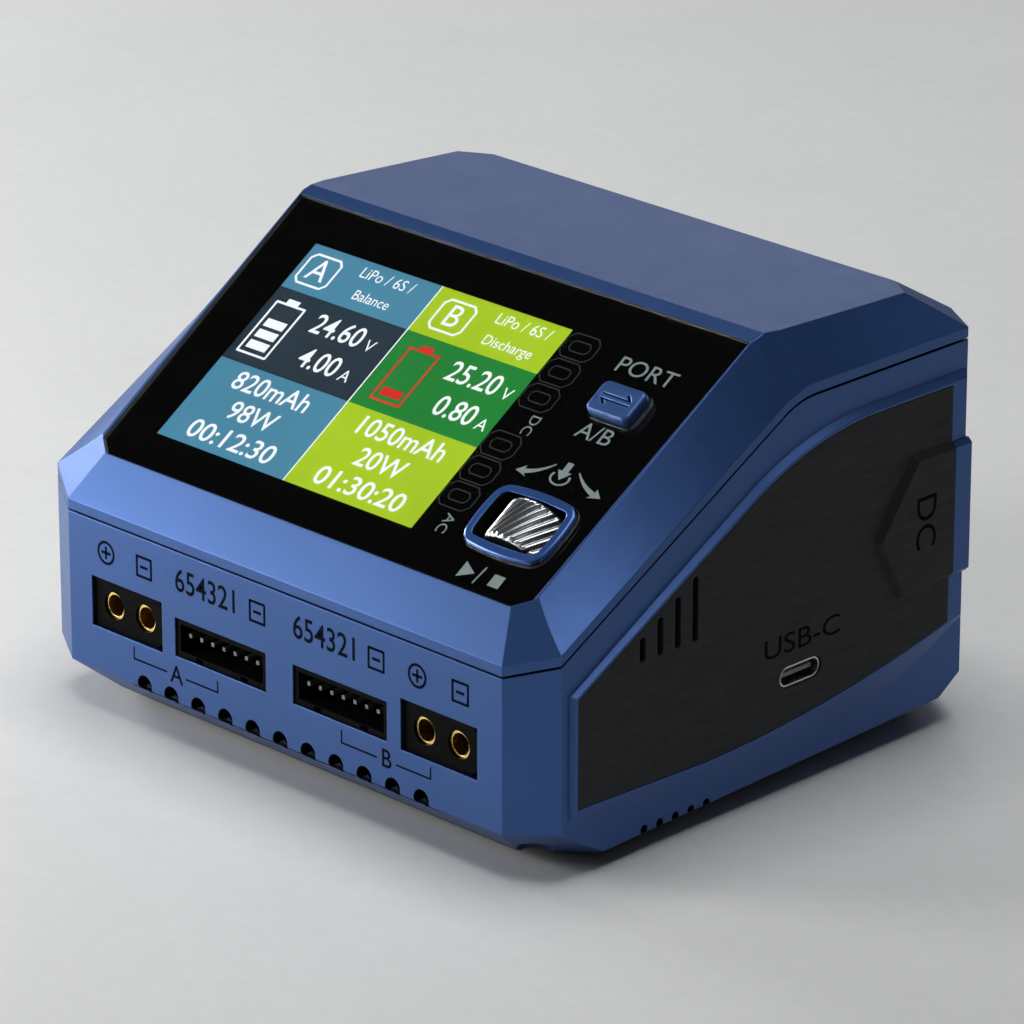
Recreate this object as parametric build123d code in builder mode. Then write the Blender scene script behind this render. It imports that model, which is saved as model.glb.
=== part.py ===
from build123d import *
from math import atan2, cos, radians, sin, tan
import os

os.makedirs("parts", exist_ok=True)

# ---------------------------------------------------------------- driving dimensions (mm)
# Row frame: +Z up, front faces -Y, origin on the desk under the middle of the case.
case_width = 110.0
case_depth = 97.0
wall = 2.2
base_z = 1.5  # underside of the shell; the feet fill the rest
crown_z = 72.0  # highest edge of the top cover
corner_x = 7.6  # corner chamfer, measured across the width
corner_y = 4.6  # corner chamfer, measured along the depth
front_y = -case_depth / 2
rear_y = case_depth / 2
half_width = case_width / 2

# Seam between the shell and the cover: rises with the panel, then runs level to the rear.
seam_front_z = 32.0
seam_slope = radians(29.2)
seam_level_z = 62.6
seam_gap = 0.4
lip = 2.0  # upright band of the cover above the seam

# Sloped display panel
panel_foot_y = -43.4
panel_foot_z = 41.0
panel_slope = radians(33.4)
glass_length = 54.8
glass_half_foot = 46.85
glass_half_head = 48.35
glass_corner = 2.85
glass_corner_rise = 2.3
glass_thick = 1.1
fit_gap = 0.15

# Display
lcd_left = -38.8
lcd_right = 17.4
lcd_low = 6.6
lcd_high = 47.5
lcd_thick = 3.6

# Controls, in panel coordinates (across, up the slope)
roller_at = (35.3, 13.0)
roller_radius = 6.3
roller_length = 7.8
roller_crown = 2.0
button_at = (35.7, 37.35)
button_size = (9.2, 6.4)
button_proud = 1.5
key_travel = 0.5

# Front connectors
socket_x = 34.25
socket_z = 18.55
socket_size = (16.1, 8.3)
contact_pitch = 7.2
header_x = 13.13
header_z = 17.97
header_size = (20.3, 6.4)
pin_pitch = 2.5
pin_count = 7

# Vents
front_vent_count = 11
front_vent_pitch = 6.1
front_vent_r = 1.6
front_vent_z = 7.65
side_vent_count = 5
side_vent_pitch = 3.35
side_vent_y = -19.7
side_vent_z = 3.6
side_vent_r = 0.75

# Side frames and panels
frame_low_x = 55.9  # side panel plane at its front edge
frame_rise = 0.4  # how much further out that plane stands at its rear
frame_run = 84.0
panel_thick = 1.5
boss_proud = 0.9
usb_y = 6.2
usb_z = 19.4

# Boards
board_thick = 1.6
main_board_top = 14.4
psu_board_top = 30.0
ui_board_depth = 15.4  # below the panel surface

# Rear
rear_opening = (88.0, 46.0)
rear_z = 33.0
rear_ledge = 2.0
fan_size = 40.0
fan_thick = 10.0
fan_z = 36.0
inlet_z = 34.0
dc_x = 34.0
ac_x = -33.0

# Posts and feet
post_x = 46.8
post_front_y = -41.0
post_rear_y = 40.5
post_r = 3.0
post_top_z = 24.0
foot_r = 5.0
foot_x = 38.0
foot_y = 31.0
foot_recess = 1.0


# ---------------------------------------------------------------- planes
def outward(a, b, c):
    """The plane through three points, with its normal pointing away from the case's middle."""
    origin = Vector(*a)
    normal = (Vector(*b) - origin).cross(Vector(*c) - origin).normalized()
    if normal.dot(origin - Vector(0, 0, crown_z / 2)) < 0:
        normal = -normal
    return Plane(origin=origin, z_dir=normal)


def across(y0, z0, y1, z1):
    """The plane that runs straight across the case through two points of its side profile."""
    return outward((0, y0, z0), (0, y1, z1), (10, y0, z0))


def both_sides(a, b, c):
    """A facet on the right and its mirror image on the left."""
    return [outward(*[(side * x, y, z) for x, y, z in (a, b, c)]) for side in (1, -1)]


panel = Plane(
    origin=(0, panel_foot_y, panel_foot_z),
    x_dir=(1, 0, 0),
    z_dir=(0, -sin(panel_slope), cos(panel_slope)),
)
panel_head_y = panel_foot_y + glass_length * cos(panel_slope)
panel_head_z = panel_foot_z + glass_length * sin(panel_slope)
top_front_y = 4.94
top_rear_y = 40.2
top_rear_z = 70.0
lip_front_z = seam_front_z + lip
lip_corner_z = lip_front_z + corner_y * tan(seam_slope)
lip_level_z = seam_level_z + lip
corner_flat = half_width - corner_x
corner_front_y = front_y + corner_y
corner_rear_y = rear_y - corner_y
seam_bend_y = front_y + (seam_level_z - seam_front_z) / tan(seam_slope)

facets = [
    panel,
    across(front_y, lip_front_z, panel_foot_y, panel_foot_z),
    across(panel_head_y, panel_head_z, top_front_y, crown_z),
    across(top_front_y, crown_z, top_rear_y, top_rear_z),
    across(top_rear_y, top_rear_z, rear_y, lip_level_z),
    across(front_y, 7.2, front_y + 6.2, 2.0),
    across(rear_y, 6.5, rear_y - 4.0, 2.5),
]
facets += both_sides(
    (corner_flat, front_y, lip_front_z),
    (half_width, corner_front_y, lip_corner_z),
    (45.4, -42.5, 41.6),
)
facets += both_sides(
    (corner_flat, rear_y, lip_level_z),
    (half_width, corner_rear_y, lip_level_z),
    (45.75, 38.7, top_rear_z),
)
facets += both_sides(
    (corner_flat, front_y, 7.2),
    (half_width, corner_front_y, 8.0),
    (half_width, -35.7, 3.2),
)
facets += both_sides(
    (corner_flat, rear_y, 6.5),
    (half_width, corner_rear_y, 8.0),
    (half_width, 38.5, 4.4),
)
facets += both_sides(
    (half_width, -35.5, 2.8),
    (half_width, 43.5, 5.0),
    (half_width - 5.0, 43.5, 2.1),
)

# Upper edge of the shoulder along the case: (y, x, z, height of the lip beside it)
shoulder_drop = 1.45  # vertical fall of a shoulder facet for each unit of inset
edge_rise = 29.5 / 45.1
edge_spread = 1.55 / 45.1
shoulder_edge = [
    (-55.0, 47.2 - 13.4 * edge_spread, 42.2 - 13.4 * edge_rise, lip_front_z - 6.5 * tan(seam_slope)),
    (3.5, 48.75, 71.7, lip_front_z + 52.0 * tan(seam_slope)),
    (8.0, 48.9, 72.2, lip_level_z),
    (37.2, 48.1, 70.2, lip_level_z),
    (60.0, 47.5, 68.6, lip_level_z),
]

outline = [
    (corner_flat, front_y),
    (half_width, corner_front_y),
    (half_width, corner_rear_y),
    (corner_flat, rear_y),
    (-corner_flat, rear_y),
    (-half_width, corner_rear_y),
    (-half_width, corner_front_y),
    (-corner_flat, front_y),
]


def shoulder_section(y, edge_x, edge_z, lip_z):
    """One section of the cutter above the shoulder, whose lower side runs from the edge to the lip."""
    steepness = (edge_z - lip_z) / (half_width - edge_x)
    inner_x = edge_x - 6.0
    outer_x = half_width + 1.0
    corners = [
        (inner_x, lip_z + steepness * (half_width - inner_x)),
        (outer_x, lip_z + steepness * (half_width - outer_x)),
        (outer_x, 2 * crown_z),
        (inner_x, 2 * crown_z),
    ]
    return Polyline(*[(x, y, z) for x, z in corners], close=True)


def shoulder_cutters(inset):
    """What the shoulders lack: twisted facets between the top's side edges and the lip."""
    drop = shoulder_drop * inset
    cutters = []
    for first, last in zip(shoulder_edge, shoulder_edge[1:]):
        faces = [
            Face(Wire(shoulder_section(y, x, z - drop, lip_z - drop).edges()))
            for y, x, z, lip_z in (first, last)
        ]
        cutter = Solid.make_loft([face.outer_wire() for face in faces], ruled=True)
        cutters += [cutter, cutter.mirror(Plane.YZ)]
    return cutters


def case_hull(inset):
    """The whole case as one faceted block, drawn in by the inset on every face."""
    cutters = shoulder_cutters(inset)
    with BuildPart() as hull:
        with BuildSketch(Plane.XY.offset(base_z + inset)):
            Polygon(*outline, align=None)
            if inset:
                offset(amount=-inset, kind=Kind.INTERSECTION)
        extrude(amount=crown_z)
        for facet in facets:
            split(bisect_by=facet.offset(-inset), keep=Keep.BOTTOM)
        for cutter in cutters:
            add(cutter, mode=Mode.SUBTRACT)
    return hull.part


def seam_block(lift, above):
    """Everything above or below the seam, moved up by the lift."""
    far = 80.0
    end_z = 2 * crown_z if above else -crown_z
    with BuildPart() as block:
        with BuildSketch(Plane.YZ.offset(-case_width)):
            with BuildLine():
                FilletPolyline(
                    (-far, seam_front_z - (far + front_y) * tan(seam_slope) + lift),
                    (seam_bend_y, seam_level_z + lift),
                    (far, seam_level_z + lift),
                    radius=14.0,
                )
                Polyline(
                    (far, seam_level_z + lift),
                    (far, end_z),
                    (-far, end_z),
                    (-far, seam_front_z - (far + front_y) * tan(seam_slope) + lift),
                )
            make_face()
        extrude(amount=2 * case_width)
    return block.part


outer_hull = case_hull(0)
inner_hull = case_hull(wall)
above_seam = seam_block(0, above=True)
below_lip = seam_block(seam_gap, above=False)

# ---------------------------------------------------------------- side frames
frame_turn = atan2(frame_rise, frame_run)
side_plane = Plane(
    origin=(frame_low_x, corner_front_y, 0),
    x_dir=(sin(frame_turn), cos(frame_turn), 0),
    z_dir=(cos(frame_turn), -sin(frame_turn), 0),
)
skin_plane = Plane(origin=(half_width - 0.1, corner_front_y, 0), x_dir=(0, 1, 0), z_dir=(1, 0, 0))
left_right = Plane.YZ  # mirror plane between the two sides


def side_outline(front, low, shoulder, slope_end, crest, level, rear, rear_low, belly, belly_start):
    """A side profile in (distance behind the front corner, height)."""
    with BuildLine() as line:
        Polyline((front, belly_start[1] + low), (front, shoulder), slope_end)
        ThreePointArc(slope_end, crest, level)
        Polyline(level, (rear, level[1]), (rear, rear_low))
        ThreePointArc((rear, rear_low), belly, belly_start)
        Line(belly_start, (front, belly_start[1] + low))
    return line.line


panel_profile = side_outline(
    2.6, 0.7, 29.1, (40.6, 50.35), (52.7, 55.05), (66.65, 56.8), 83.2, 18.0, (57.8, 13.15), (29.5, 11.0)
)
rim_profile = side_outline(
    2.2, 0.7, 29.3, (40.6, 50.75), (52.7, 55.45), (66.65, 57.2), 86.3, 18.4, (57.8, 12.75), (29.5, 10.6)
)
skin_profile = side_outline(
    1.7, 3.1, 29.6, (41.0, 52.0), (53.0, 56.5), (66.8, 58.2), 87.6, 17.0, (65.9, 8.2), (30.0, 5.9)
)

with BuildPart() as side_frame:
    with BuildSketch(skin_plane):
        add(skin_profile)
        make_face()
    with BuildSketch(side_plane):
        add(rim_profile)
        make_face()
    loft(ruled=True)

panel_rear = 83.2
boss_low = 25.6
boss_high = 47.5
boss_bevel = 0.7
strip_rear = 86.8

with BuildPart() as frame_boss:
    with BuildSketch(side_plane.offset(-panel_thick)):
        with Locations(((panel_rear + strip_rear) / 2, (boss_low + boss_high) / 2)):
            Rectangle(strip_rear - panel_rear, boss_high - boss_low)
    extrude(amount=panel_thick + boss_proud)
    chamfer(frame_boss.faces().sort_by(Axis.X)[-1].edges().filter_by(Axis.Z, reverse=True), boss_bevel)

with BuildPart() as panel_pocket:
    with BuildSketch(side_plane.offset(boss_proud)):
        add(panel_profile)
        make_face()
    extrude(amount=-boss_proud - panel_thick - 0.05)

slot_count = 4
slot_pitch = 3.7
slot_first = 15.9
slot_low = 31.1
slot_first_high = 35.1
slot_rise = 2.15
slot_width = 1.3

with BuildPart() as slot_window:
    with BuildSketch(side_plane):
        with BuildLine():
            Polyline((14.0, 30.2), (14.0, 34.6), (29.0, 43.2), (29.0, 30.2), close=True)
        make_face()
    extrude(amount=-3 * wall)

usb_plane = Plane(origin=(half_width - 8.0, usb_y, usb_z), x_dir=(0, 1, 0), z_dir=(1, 0, 0))
usb_shell = (8.94, 3.26)

with BuildPart() as usb_window:
    with BuildSketch(usb_plane):
        SlotOverall(usb_shell[0] + 1.6, usb_shell[1] + 1.6)
    extrude(amount=9.0)


# ---------------------------------------------------------------- lower shell
board_boss_x = 40.0
board_boss_y = (-27.0, 31.0)
board_boss_r = 2.6
pilot_r = 1.1
screw_r = 1.3
screw_head_r = 2.6
counterbore_depth = 2.0
main_board_low = main_board_top - board_thick
shell_floor = base_z + wall
post_spots = [(side * post_x, y) for side in (-1, 1) for y in (post_front_y, post_rear_y)]
boss_spots = [(side * board_boss_x, y) for side in (-1, 1) for y in board_boss_y]
foot_spots = [(side * foot_x, y * foot_y) for side in (-1, 1) for y in (-1, 1)]
ledge_size = (rear_opening[0] + 2 * rear_ledge, rear_opening[1] + 2 * rear_ledge)
ledge_thick = 1.2
drip_width = 68.0
drip_height = 0.7
front_plane = Plane(origin=(0, front_y, 0), x_dir=(1, 0, 0), z_dir=(0, -1, 0))
rear_plane = Plane(origin=(0, rear_y, 0), x_dir=(-1, 0, 0), z_dir=(0, 1, 0))

with BuildPart() as lower_shell:
    add(outer_hull)
    add(inner_hull, mode=Mode.SUBTRACT)
    # bosses rise from the floor; the case posts and the board bosses share one sketch each
    with BuildSketch(Plane.XY.offset(base_z)):
        with Locations(*post_spots):
            Circle(post_r)
    extrude(amount=post_top_z - base_z)
    with BuildSketch(Plane.XY.offset(base_z)):
        with Locations(*boss_spots):
            Circle(board_boss_r)
    extrude(amount=main_board_low - base_z)
    # pads that carry the feet
    with BuildSketch(Plane.XY.offset(base_z)):
        with Locations(*foot_spots):
            Circle(foot_r + 1.2)
    extrude(amount=wall + foot_recess)
    add(outer_hull, mode=Mode.INTERSECT)
    add(above_seam, mode=Mode.SUBTRACT)
    add(side_frame.part)
    add(mirror(side_frame.part, about=left_right))
    for cutter in (panel_pocket.part, slot_window.part):
        add(cutter, mode=Mode.SUBTRACT)
        add(mirror(cutter, about=left_right), mode=Mode.SUBTRACT)
    add(usb_window.part, mode=Mode.SUBTRACT)
    add(frame_boss.part)
    add(mirror(frame_boss.part, about=left_right))
    # front ports, mirrored about the middle
    with BuildSketch(front_plane):
        with Locations((-socket_x, socket_z), (socket_x, socket_z)):
            Rectangle(*socket_size)
        with Locations((-header_x, header_z), (header_x, header_z)):
            Rectangle(*header_size)
    extrude(amount=-2 * wall, mode=Mode.SUBTRACT)
    # front vents and the drip groove under them
    with BuildSketch(front_plane):
        with Locations((0, front_vent_z)):
            with GridLocations(front_vent_pitch, 1, front_vent_count, 1):
                Circle(front_vent_r)
    extrude(amount=-3 * wall, mode=Mode.SUBTRACT)
    with BuildSketch(front_plane):
        with Locations((0, 6.5)):
            SlotOverall(drip_width, drip_height)
    extrude(amount=-wall, mode=Mode.SUBTRACT)
    # side vents through both walls
    with BuildSketch(Plane.YZ.offset(-case_width)):
        with Locations((side_vent_y, side_vent_z)):
            with GridLocations(side_vent_pitch, 1, side_vent_count, 1):
                Circle(side_vent_r)
    extrude(amount=2 * case_width, mode=Mode.SUBTRACT)
    # floor vents
    with BuildSketch(Plane.XY):
        with GridLocations(7.0, 34.0, 7, 2):
            SlotOverall(24.0, 2.4, rotation=90)
    extrude(amount=shell_floor + 1.0, mode=Mode.SUBTRACT)
    # foot recesses, screw clearances and pilots
    with BuildSketch(Plane.XY):
        with Locations(*foot_spots):
            Circle(foot_r + 0.1)
    extrude(amount=base_z + foot_recess, mode=Mode.SUBTRACT)
    with BuildSketch(Plane.XY):
        with Locations(*post_spots):
            Circle(screw_r + 0.3)
    extrude(amount=post_top_z + 1.0, mode=Mode.SUBTRACT)
    with BuildSketch(Plane.XY):
        with Locations(*post_spots):
            Circle(screw_head_r + 0.2)
    extrude(amount=base_z + counterbore_depth + 2.4, mode=Mode.SUBTRACT)
    with BuildSketch(Plane.XY.offset(main_board_low)):
        with Locations(*boss_spots):
            Circle(pilot_r)
    extrude(amount=-6.0, mode=Mode.SUBTRACT)
    # rear opening with a ledge for the rear panel
    with BuildSketch(rear_plane):
        with Locations((0, rear_z)):
            RectangleRounded(*ledge_size, radius=3.0)
    extrude(amount=-ledge_thick, mode=Mode.SUBTRACT)
    with BuildSketch(rear_plane):
        with Locations((0, rear_z)):
            RectangleRounded(*rear_opening, radius=2.0)
    extrude(amount=-3 * wall, mode=Mode.SUBTRACT)


# ---------------------------------------------------------------- top cover
tongue_drop = 1.8
tongue_thick = 1.2
glass_pocket = glass_thick + fit_gap
ui_boss_spots = [(-38.0, 2.6), (22.0, 2.6), (-38.0, 51.6), (38.0, 51.6)]
ui_boss_r = 2.0
bezel_size = (17.2, 12.6)
bezel_bow = 0.7
window_size = (14.0, 9.3)
bezel_corner = 3.0
skirt_inset = 1.2
skirt_depth = 2.6
lcd_margin = 1.5
lcd_centre = ((lcd_left + lcd_right) / 2, (lcd_low + lcd_high) / 2)
lcd_case = (lcd_right - lcd_left + 2 * lcd_margin, lcd_high - lcd_low + 2 * lcd_margin)


def glass_outline(shrink):
    """Corner points of the glass, drawn in by the shrink."""
    foot = glass_half_foot - glass_corner
    right = [
        (foot - 0.4 * shrink, shrink),
        (glass_half_foot - shrink, glass_corner_rise + 0.4 * shrink),
        (glass_half_head - shrink, glass_length - shrink),
    ]
    return right + [(-x, y) for x, y in reversed(right)]


def bowed_outline(at, size, bow, corner):
    """A rounded rectangle whose sides bulge outwards."""
    x, y = at
    a = size[0] / 2
    b = size[1] / 2
    with BuildSketch(Plane.XY, mode=Mode.PRIVATE) as bowed:
        with BuildLine():
            ThreePointArc((x - a + bow, y - b + bow), (x, y - b), (x + a - bow, y - b + bow))
            ThreePointArc((x + a - bow, y - b + bow), (x + a, y), (x + a - bow, y + b - bow))
            ThreePointArc((x + a - bow, y + b - bow), (x, y + b), (x - a + bow, y + b - bow))
            ThreePointArc((x - a + bow, y + b - bow), (x - a, y), (x - a + bow, y - b + bow))
        make_face()
        fillet(bowed.vertices(), radius=corner)
    return bowed.sketch


def grown(size, by):
    """A size made larger all round."""
    return (size[0] + 2 * by, size[1] + 2 * by)


bezel_outer = bowed_outline(roller_at, bezel_size, bezel_bow, bezel_corner)
bezel_hole = bowed_outline(roller_at, grown(bezel_size, 0.1), bezel_bow, bezel_corner)
skirt_outer = bowed_outline(roller_at, grown(bezel_size, -skirt_inset), bezel_bow, bezel_corner - skirt_inset)
skirt_hole = bowed_outline(
    roller_at, grown(bezel_size, fit_gap - skirt_inset), bezel_bow, bezel_corner - skirt_inset
)
roller_window = bowed_outline(roller_at, window_size, 0.35, 1.4)

rib_outer = case_hull(wall - 0.2)
rib_inner = case_hull(wall + tongue_thick)
tongue_outer = case_hull(wall + 0.12)
under_tongue = seam_block(-tongue_drop, above=False)
over_seam = seam_block(seam_gap + 0.1, above=True)
over_rib = seam_block(2.2, above=True)

with BuildPart() as tongue:
    add(tongue_outer)
    add(over_seam, mode=Mode.SUBTRACT)
    add(under_tongue, mode=Mode.SUBTRACT)
    add(rib_inner, mode=Mode.SUBTRACT)

with BuildPart() as rib:
    add(rib_outer)
    add(below_lip, mode=Mode.SUBTRACT)
    add(over_rib, mode=Mode.SUBTRACT)
    add(rib_inner, mode=Mode.SUBTRACT)

with BuildPart() as top_cover:
    add(outer_hull)
    add(inner_hull, mode=Mode.SUBTRACT)
    add(below_lip, mode=Mode.SUBTRACT)
    add(rib.part)
    add(tongue.part)
    with BuildSketch(Plane.XY.offset(post_top_z + 0.05)):
        with Locations(*post_spots):
            Circle(post_r)
    extrude(amount=crown_z - post_top_z)
    with BuildSketch(panel.offset(-ui_board_depth)):
        with Locations(*ui_boss_spots):
            Circle(ui_boss_r)
    extrude(amount=ui_board_depth)
    add(outer_hull, mode=Mode.INTERSECT)
    with BuildSketch(Plane.XY.offset(post_top_z)):
        with Locations(*post_spots):
            Circle(screw_r)
    extrude(amount=9.0, mode=Mode.SUBTRACT)
    with BuildSketch(panel.offset(-ui_board_depth)):
        with Locations(*ui_boss_spots):
            Circle(pilot_r)
    extrude(amount=6.0, mode=Mode.SUBTRACT)
    # pocket for the glass, then the windows under it
    with BuildSketch(panel):
        Polygon(*glass_outline(0), align=None)
    extrude(amount=-glass_pocket, mode=Mode.SUBTRACT)
    with BuildSketch(panel):
        with Locations(lcd_centre):
            Rectangle(*grown(lcd_case, fit_gap))
        with Locations(button_at):
            RectangleRounded(*grown(button_size, 0.2), radius=1.6)
        add(skirt_hole)
    extrude(amount=-2 * wall, mode=Mode.SUBTRACT)


# ---------------------------------------------------------------- side panels
boss_tip = (66.0, 35.7)
boss_front = (71.7, 74.6)
panel_fit = 0.12

with BuildPart() as side_panel_left:
    with BuildSketch(side_plane):
        add(panel_profile)
        make_face()
        offset(amount=-panel_fit, kind=Kind.INTERSECTION)
    extrude(amount=-panel_thick)
    with BuildSketch(side_plane):
        with BuildLine():
            Polyline(
                (panel_rear - panel_fit, boss_low),
                (boss_front[0], boss_low - 0.5),
                boss_tip,
                (boss_front[1], boss_high),
                (panel_rear - panel_fit, boss_high),
                close=True,
            )
        make_face()
    extrude(amount=boss_proud)
    crest = side_panel_left.faces().filter_by(side_plane).sort_by(Axis.X)[-1]
    chamfer(crest.edges().filter_by(Axis.Z, reverse=True), boss_bevel)
    for slot in range(slot_count):
        slot_high = slot_first_high + slot * slot_rise
        with BuildSketch(side_plane):
            with Locations((slot_first + slot * slot_pitch, (slot_low + slot_high) / 2)):
                SlotOverall(slot_high - slot_low, slot_width, rotation=90)
        extrude(amount=-2 * panel_thick, mode=Mode.SUBTRACT)

with BuildPart() as side_panel_right:
    add(side_panel_left.part)
    with BuildSketch(usb_plane):
        SlotOverall(usb_shell[0] + 0.3, usb_shell[1] + 0.3)
    extrude(amount=12.0, mode=Mode.SUBTRACT)

side_panel_left.part = mirror(side_panel_left.part, about=left_right)


# ---------------------------------------------------------------- display
def on_panel(depth):
    """A plane parallel to the panel, this far below its surface."""
    return panel.offset(-depth)


with BuildPart() as display_glass:
    with BuildSketch(panel):
        Polygon(*glass_outline(fit_gap), align=None)
        add(bezel_hole, mode=Mode.SUBTRACT)
        with Locations(button_at):
            RectangleRounded(*grown(button_size, 0.15), radius=1.55, mode=Mode.SUBTRACT)
    extrude(amount=-glass_thick)

with BuildPart() as lcd_module:
    with BuildSketch(on_panel(glass_pocket)):
        with Locations(lcd_centre):
            Rectangle(*lcd_case)
    extrude(amount=-lcd_thick)
    chamfer(lcd_module.faces().filter_by(panel).sort_by(Axis.Z)[0].edges(), 0.4)


# ---------------------------------------------------------------- port button
button_root = 2.2
button_taper = 4.0
flange_top = 2.7
flange_thick = 0.9
stem_r = 1.5
switch_body = 2.4
plunger_r = 1.6
plunger_rise = 0.9
switch_side = 6.0
switch_gap = 0.1  # air left between a pressed key and its switch
plunger_top = ui_board_depth - switch_body - plunger_rise
arrow_depth = 0.25
arrow_half = 3.0
arrow_line = 0.34
arrow_head = 1.2
arrow_apart = 0.45


def arrow(direction, y):
    """Half-headed arrow cut into the button's face, pointing left or right."""
    x, centre_y = button_at
    points = [
        (-arrow_half, y - arrow_line / 2),
        (arrow_half, y - arrow_line / 2),
        (arrow_half - arrow_head, y - arrow_line / 2 + arrow_head),
        (arrow_half - 1.35 * arrow_head, y - arrow_line / 2 + 0.75 * arrow_head),
        (arrow_half - 0.8 * arrow_head, y + arrow_line / 2),
        (-arrow_half, y + arrow_line / 2),
    ]
    return [(x + direction * px, centre_y + direction * py) for px, py in points]


with BuildPart() as port_button:
    with BuildSketch(on_panel(button_root)):
        with Locations(button_at):
            RectangleRounded(*button_size, radius=1.4)
    extrude(amount=button_root + button_proud, taper=button_taper)
    fillet(port_button.faces().filter_by(panel).sort_by(Axis.Z)[-1].edges(), radius=0.55)
    with BuildSketch(on_panel(flange_top)):
        with Locations(button_at):
            RectangleRounded(*grown(button_size, 0.9), radius=2.0)
    extrude(amount=-flange_thick)
    with BuildSketch(on_panel(flange_top)):
        with Locations(button_at):
            RectangleRounded(*grown(button_size, -0.6), radius=1.0)
    extrude(amount=flange_top - button_root)
    with BuildSketch(on_panel(plunger_top - key_travel - switch_gap)):
        with Locations(button_at):
            Circle(stem_r)
    extrude(amount=plunger_top - key_travel - switch_gap - flange_top)
    with BuildSketch(panel.offset(button_proud)):
        Polygon(*arrow(1, arrow_apart), align=None)
        Polygon(*arrow(-1, arrow_apart), align=None)
    extrude(amount=-arrow_depth, mode=Mode.SUBTRACT)


def tact_switch(at):
    """A push switch standing on the user-interface board."""
    with BuildPart() as switch:
        with BuildSketch(on_panel(ui_board_depth)):
            with Locations(at):
                Rectangle(switch_side, switch_side)
        extrude(amount=switch_body)
        chamfer(switch.faces().filter_by(panel).sort_by(Axis.Z)[-1].edges(), 0.3)
        with BuildSketch(on_panel(ui_board_depth - switch_body)):
            with Locations(at):
                Circle(plunger_r)
        extrude(amount=plunger_rise)
    return switch


port_switch = tact_switch(button_at)
roller_switch = tact_switch(roller_at)


# ---------------------------------------------------------------- roller
bezel_proud = 0.6
roller_axis_depth = roller_radius - roller_crown
shaft_r = 0.9
shaft_clearance = 0.05
ear_gap = 0.35
ear_thick = 1.1
ear_width = 5.6
ear_top = skirt_depth + 0.3
carrier_floor = plunger_top - key_travel - switch_gap
carrier_thick = 0.8
encoder_thick = 2.0
encoder_side = 5.0
ear_inner = roller_length / 2 + ear_gap
ear_outer = ear_inner + ear_thick
roller_x, roller_s = roller_at


def across_slope(s):
    """A plane square to the roller's axis, this far up the slope; its Y points out of the panel."""
    origin = panel.from_local_coords((roller_x, s, -roller_axis_depth))
    return Plane(origin=origin, x_dir=(1, 0, 0), z_dir=-panel.y_dir)


with BuildPart() as roller_bezel:
    with BuildSketch(on_panel(glass_thick)):
        add(bezel_outer)
    extrude(amount=glass_thick + bezel_proud)
    fillet(roller_bezel.faces().filter_by(panel).sort_by(Axis.Z)[-1].edges(), radius=0.6)
    with BuildSketch(on_panel(skirt_depth)):
        add(skirt_outer)
    extrude(amount=skirt_depth - glass_thick)
    with BuildSketch(on_panel(skirt_depth)):
        add(roller_window)
    extrude(amount=skirt_depth + 2 * bezel_proud, mode=Mode.SUBTRACT)

with BuildPart() as scroll_roller:
    with BuildSketch(across_slope(roller_s - roller_length / 2)):
        Circle(roller_radius)
    extrude(amount=-roller_length)
    chamfer(scroll_roller.edges().filter_by(GeomType.CIRCLE), 0.5)
    with BuildSketch(across_slope(roller_s - ear_outer)):
        Circle(shaft_r)
    extrude(amount=-(2 * ear_outer + encoder_thick))

with BuildPart() as roller_carrier:
    with BuildSketch(on_panel(carrier_floor)):
        with Locations(roller_at):
            Rectangle(ear_width + 2.0, 2 * ear_outer)
    extrude(amount=carrier_thick)
    for side in (-1, 1):
        with BuildSketch(on_panel(carrier_floor)):
            with Locations((roller_x, roller_s + side * (ear_inner + ear_outer) / 2)):
                Rectangle(ear_width, ear_thick)
        extrude(amount=carrier_floor - ear_top)
    with BuildSketch(across_slope(roller_s - ear_outer)):
        Circle(shaft_r + shaft_clearance)
    extrude(amount=-2 * ear_outer, mode=Mode.SUBTRACT)

with BuildPart() as roller_encoder:
    with BuildSketch(across_slope(roller_s + ear_outer)):
        with Locations((0, -0.6)):
            RectangleRounded(encoder_side, encoder_side, radius=0.6)
        Circle(shaft_r + shaft_clearance, mode=Mode.SUBTRACT)
    extrude(amount=-encoder_thick)


# ---------------------------------------------------------------- user-interface board and ribbon
ui_board_low = 0.6
ui_board_high = 53.6
ui_board_half = 41.0
ribbon_x = -10.0
ribbon_width = 12.0
ribbon_thick = 0.35

with BuildPart() as ui_board:
    with BuildSketch(on_panel(ui_board_depth)):
        with Locations((0, (ui_board_low + ui_board_high) / 2)):
            Rectangle(2 * ui_board_half, ui_board_high - ui_board_low)
        with Locations(*ui_boss_spots):
            Circle(screw_r, mode=Mode.SUBTRACT)
    extrude(amount=-board_thick)

with BuildPart() as display_ribbon:
    with BuildSketch(on_panel(glass_pocket + lcd_thick)):
        with Locations((ribbon_x, lcd_high - 6.0)):
            Rectangle(ribbon_width, ribbon_thick)
    extrude(amount=-(ui_board_depth - glass_pocket - lcd_thick))


# ---------------------------------------------------------------- output sockets
contact_outer_r = 2.25
contact_bore_r = 1.75
contact_length = 12.0
socket_depth = 16.0
socket_recess = 0.6
contact_recess = 0.4
socket_fit = 0.1
bevel = 1.6


def socket_outline(x, size):
    """Connector profile: square on its positive side, bevelled on its negative side."""
    a = size[0] / 2 - socket_fit
    b = size[1] / 2 - socket_fit
    points = [(-a, -b), (a - bevel, -b), (a, bevel - b), (a, b - bevel), (a - bevel, b), (-a, b)]
    return [(x + px, socket_z + py) for px, py in points]


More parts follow.
